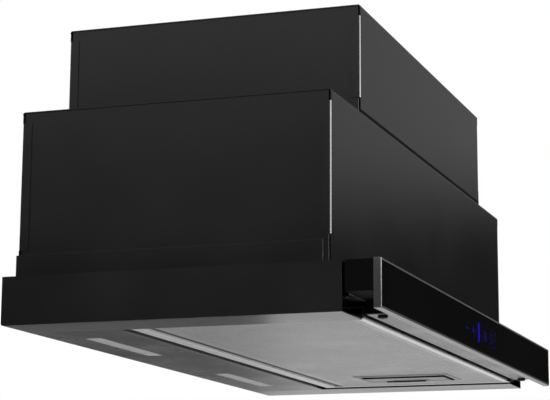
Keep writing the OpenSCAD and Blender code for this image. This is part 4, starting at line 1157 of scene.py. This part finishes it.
def screwTree():
    kinds = {"Screw": "NodeSocketObject", "Turn": "NodeSocketRotation", "Finish": "NodeSocketMaterial"}
    tree, start, end = openTree("screwSet", kinds)
    spots = addNode(tree, "GeometryNodeMeshToPoints", inputs={"Mesh": start.outputs["Geometry"]})
    model = {"Object": start.outputs["Screw"], "As Instance": True}
    screw = addNode(tree, "GeometryNodeObjectInfo", inputs=model)
    seats = {
        "Points": spots.outputs["Points"], "Instance": screw.outputs["Geometry"],
        "Rotation": start.outputs["Turn"],
    }
    placed = addNode(tree, "GeometryNodeInstanceOnPoints", inputs=seats)
    solid = addNode(tree, "GeometryNodeRealizeInstances", inputs={"Geometry": placed.outputs["Instances"]})
    dressed = {"Geometry": solid.outputs["Geometry"], "Material": start.outputs["Finish"]}
    finished = addNode(tree, "GeometryNodeSetMaterial", inputs=dressed)
    tree.links.new(finished.outputs["Geometry"], end.inputs["Geometry"])
    return tree


def makeScrews(node, look, tree):
    # one model for the set, whose screws are all of one length
    out = Vector(look["out"])
    axis = [abs(v) for v in out].index(1)
    high = look["headHighMm"] * mm
    seats = []
    for low, top in separateSolids(node):
        seat = [(a + b) / 2 for a, b in zip(low, top)]
        seat[axis] = top[axis] - high if out[axis] > 0 else low[axis] + high
        seats.append(seat)
        length = top[axis] - low[axis] - high
    finish = finishes[slotOf[node]]
    model = screwModel(node + "Model", look, length, finish)
    mesh = bpy.data.meshes.new(camel(node))
    mesh.from_pydata(seats, [], [])
    piece = newPiece(camel(node), mesh)
    turn = out.to_track_quat("Z", "Y").to_euler()
    runTree(piece, tree, {"Screw": model, "Turn": turn, "Finish": finish})
    bpy.data.objects.remove(model)
    standIn(piece, node)
    return len(seats)


screwGroup = screwTree()
for nodeName, look in screwSets.items():
    print("screws:", nodeName, makeScrews(nodeName, look, screwGroup))


# the glass with its ground edge, set back by the ink's thickness, and the signs, sunk a little into it
frontGlass = {"edgeMm": 0.4, "edgeSteps": 3, "inkMm": 0.05, "signDeepMm": 0.075}
# signs in mm: across the front from the middle of the hood, and up from the underside
touchSigns = {
    "mainBar": ((-5.0, 11.0), (0.5, 27.0)),
    "bars": [
        ((-49.0, 17.6), (-39.0, 19.4)),
        ((-26.5, 17.6), (-16.5, 19.4)),
        ((-22.4, 13.5), (-20.6, 23.5)),
    ],
    "rings": [((22.0, 18.5), 5.0, 1.2), ((44.0, 18.5), 5.0, 1.2)],
    "dots": [((22.0, 18.5), 1.6), ((58.0, 12.0), 1.3), ((58.0, 18.5), 1.3), ((58.0, 25.0), 1.3)],
    "ringSides": 32,
    "dotSides": 20,
}


def makeGlass(look):
    low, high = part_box("front_glass")
    work = bmesh.new()
    addBlock(work, (low.x, low.y + look["inkMm"] * mm, low.z), high)
    glass = fromWork("frontGlass", work, finishes["black_glass"])
    easeEdges(glass, look["edgeMm"], look["edgeSteps"])
    standIn(bake(glass), "front_glass")


def addSign(work, outline, inner, y0, y1):
    # a flat sign facing -Y, solid or with an inner outline of as many points
    front = [work.verts.new((x, y0, z)) for x, z in outline]
    back = [work.verts.new((x, y1, z)) for x, z in outline]
    count = len(outline)
    for i in range(count):
        j = (i + 1) % count
        work.faces.new((front[i], back[i], back[j], front[j]))
    if inner is None:
        work.faces.new(front)
        work.faces.new(back[::-1])
        return
    innerFront = [work.verts.new((x, y0, z)) for x, z in inner]
    innerBack = [work.verts.new((x, y1, z)) for x, z in inner]
    for i in range(count):
        j = (i + 1) % count
        work.faces.new((front[i], front[j], innerFront[j], innerFront[i]))
        work.faces.new((back[j], back[i], innerBack[i], innerBack[j]))
        work.faces.new((innerFront[i], innerFront[j], innerBack[j], innerBack[i]))


def rectangle(low, high):
    (x0, z0), (x1, z1) = low, high
    return [(x * mm, z * mm) for x, z in ((x0, z0), (x1, z0), (x1, z1), (x0, z1))]


def circle(centre, radius, count):
    turns = [2 * math.pi * i / count for i in range(count)]
    return [((centre[0] + radius * math.cos(t)) * mm, (centre[1] + radius * math.sin(t)) * mm) for t in turns]


def finishSign(name, work, finish):
    piece = fromWork(name, work, finish)
    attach(piece, bodyOf["front_glass"])


def makeTouchSigns(signs, look):
    y0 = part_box("front_glass")[0].y
    y1 = y0 + look["signDeepMm"] * mm
    work = bmesh.new()
    addSign(work, rectangle(*signs["mainBar"]), None, y0, y1)
    finishSign("touchBar", work, finishes["touch_ink"])
    work = bmesh.new()
    for low, high in signs["bars"]:
        addSign(work, rectangle(low, high), None, y0, y1)
    sides = signs["ringSides"]
    for centre, radius, line in signs["rings"]:
        addSign(work, circle(centre, radius, sides), circle(centre, radius - line, sides), y0, y1)
    for centre, radius in signs["dots"]:
        addSign(work, circle(centre, radius, signs["dotSides"]), None, y0, y1)
    finishSign("touchSigns", work, finishes["touch_ink_dim"])


makeGlass(frontGlass)
makeTouchSigns(touchSigns, frontGlass)
print("front glass: ground edge and touch signs")
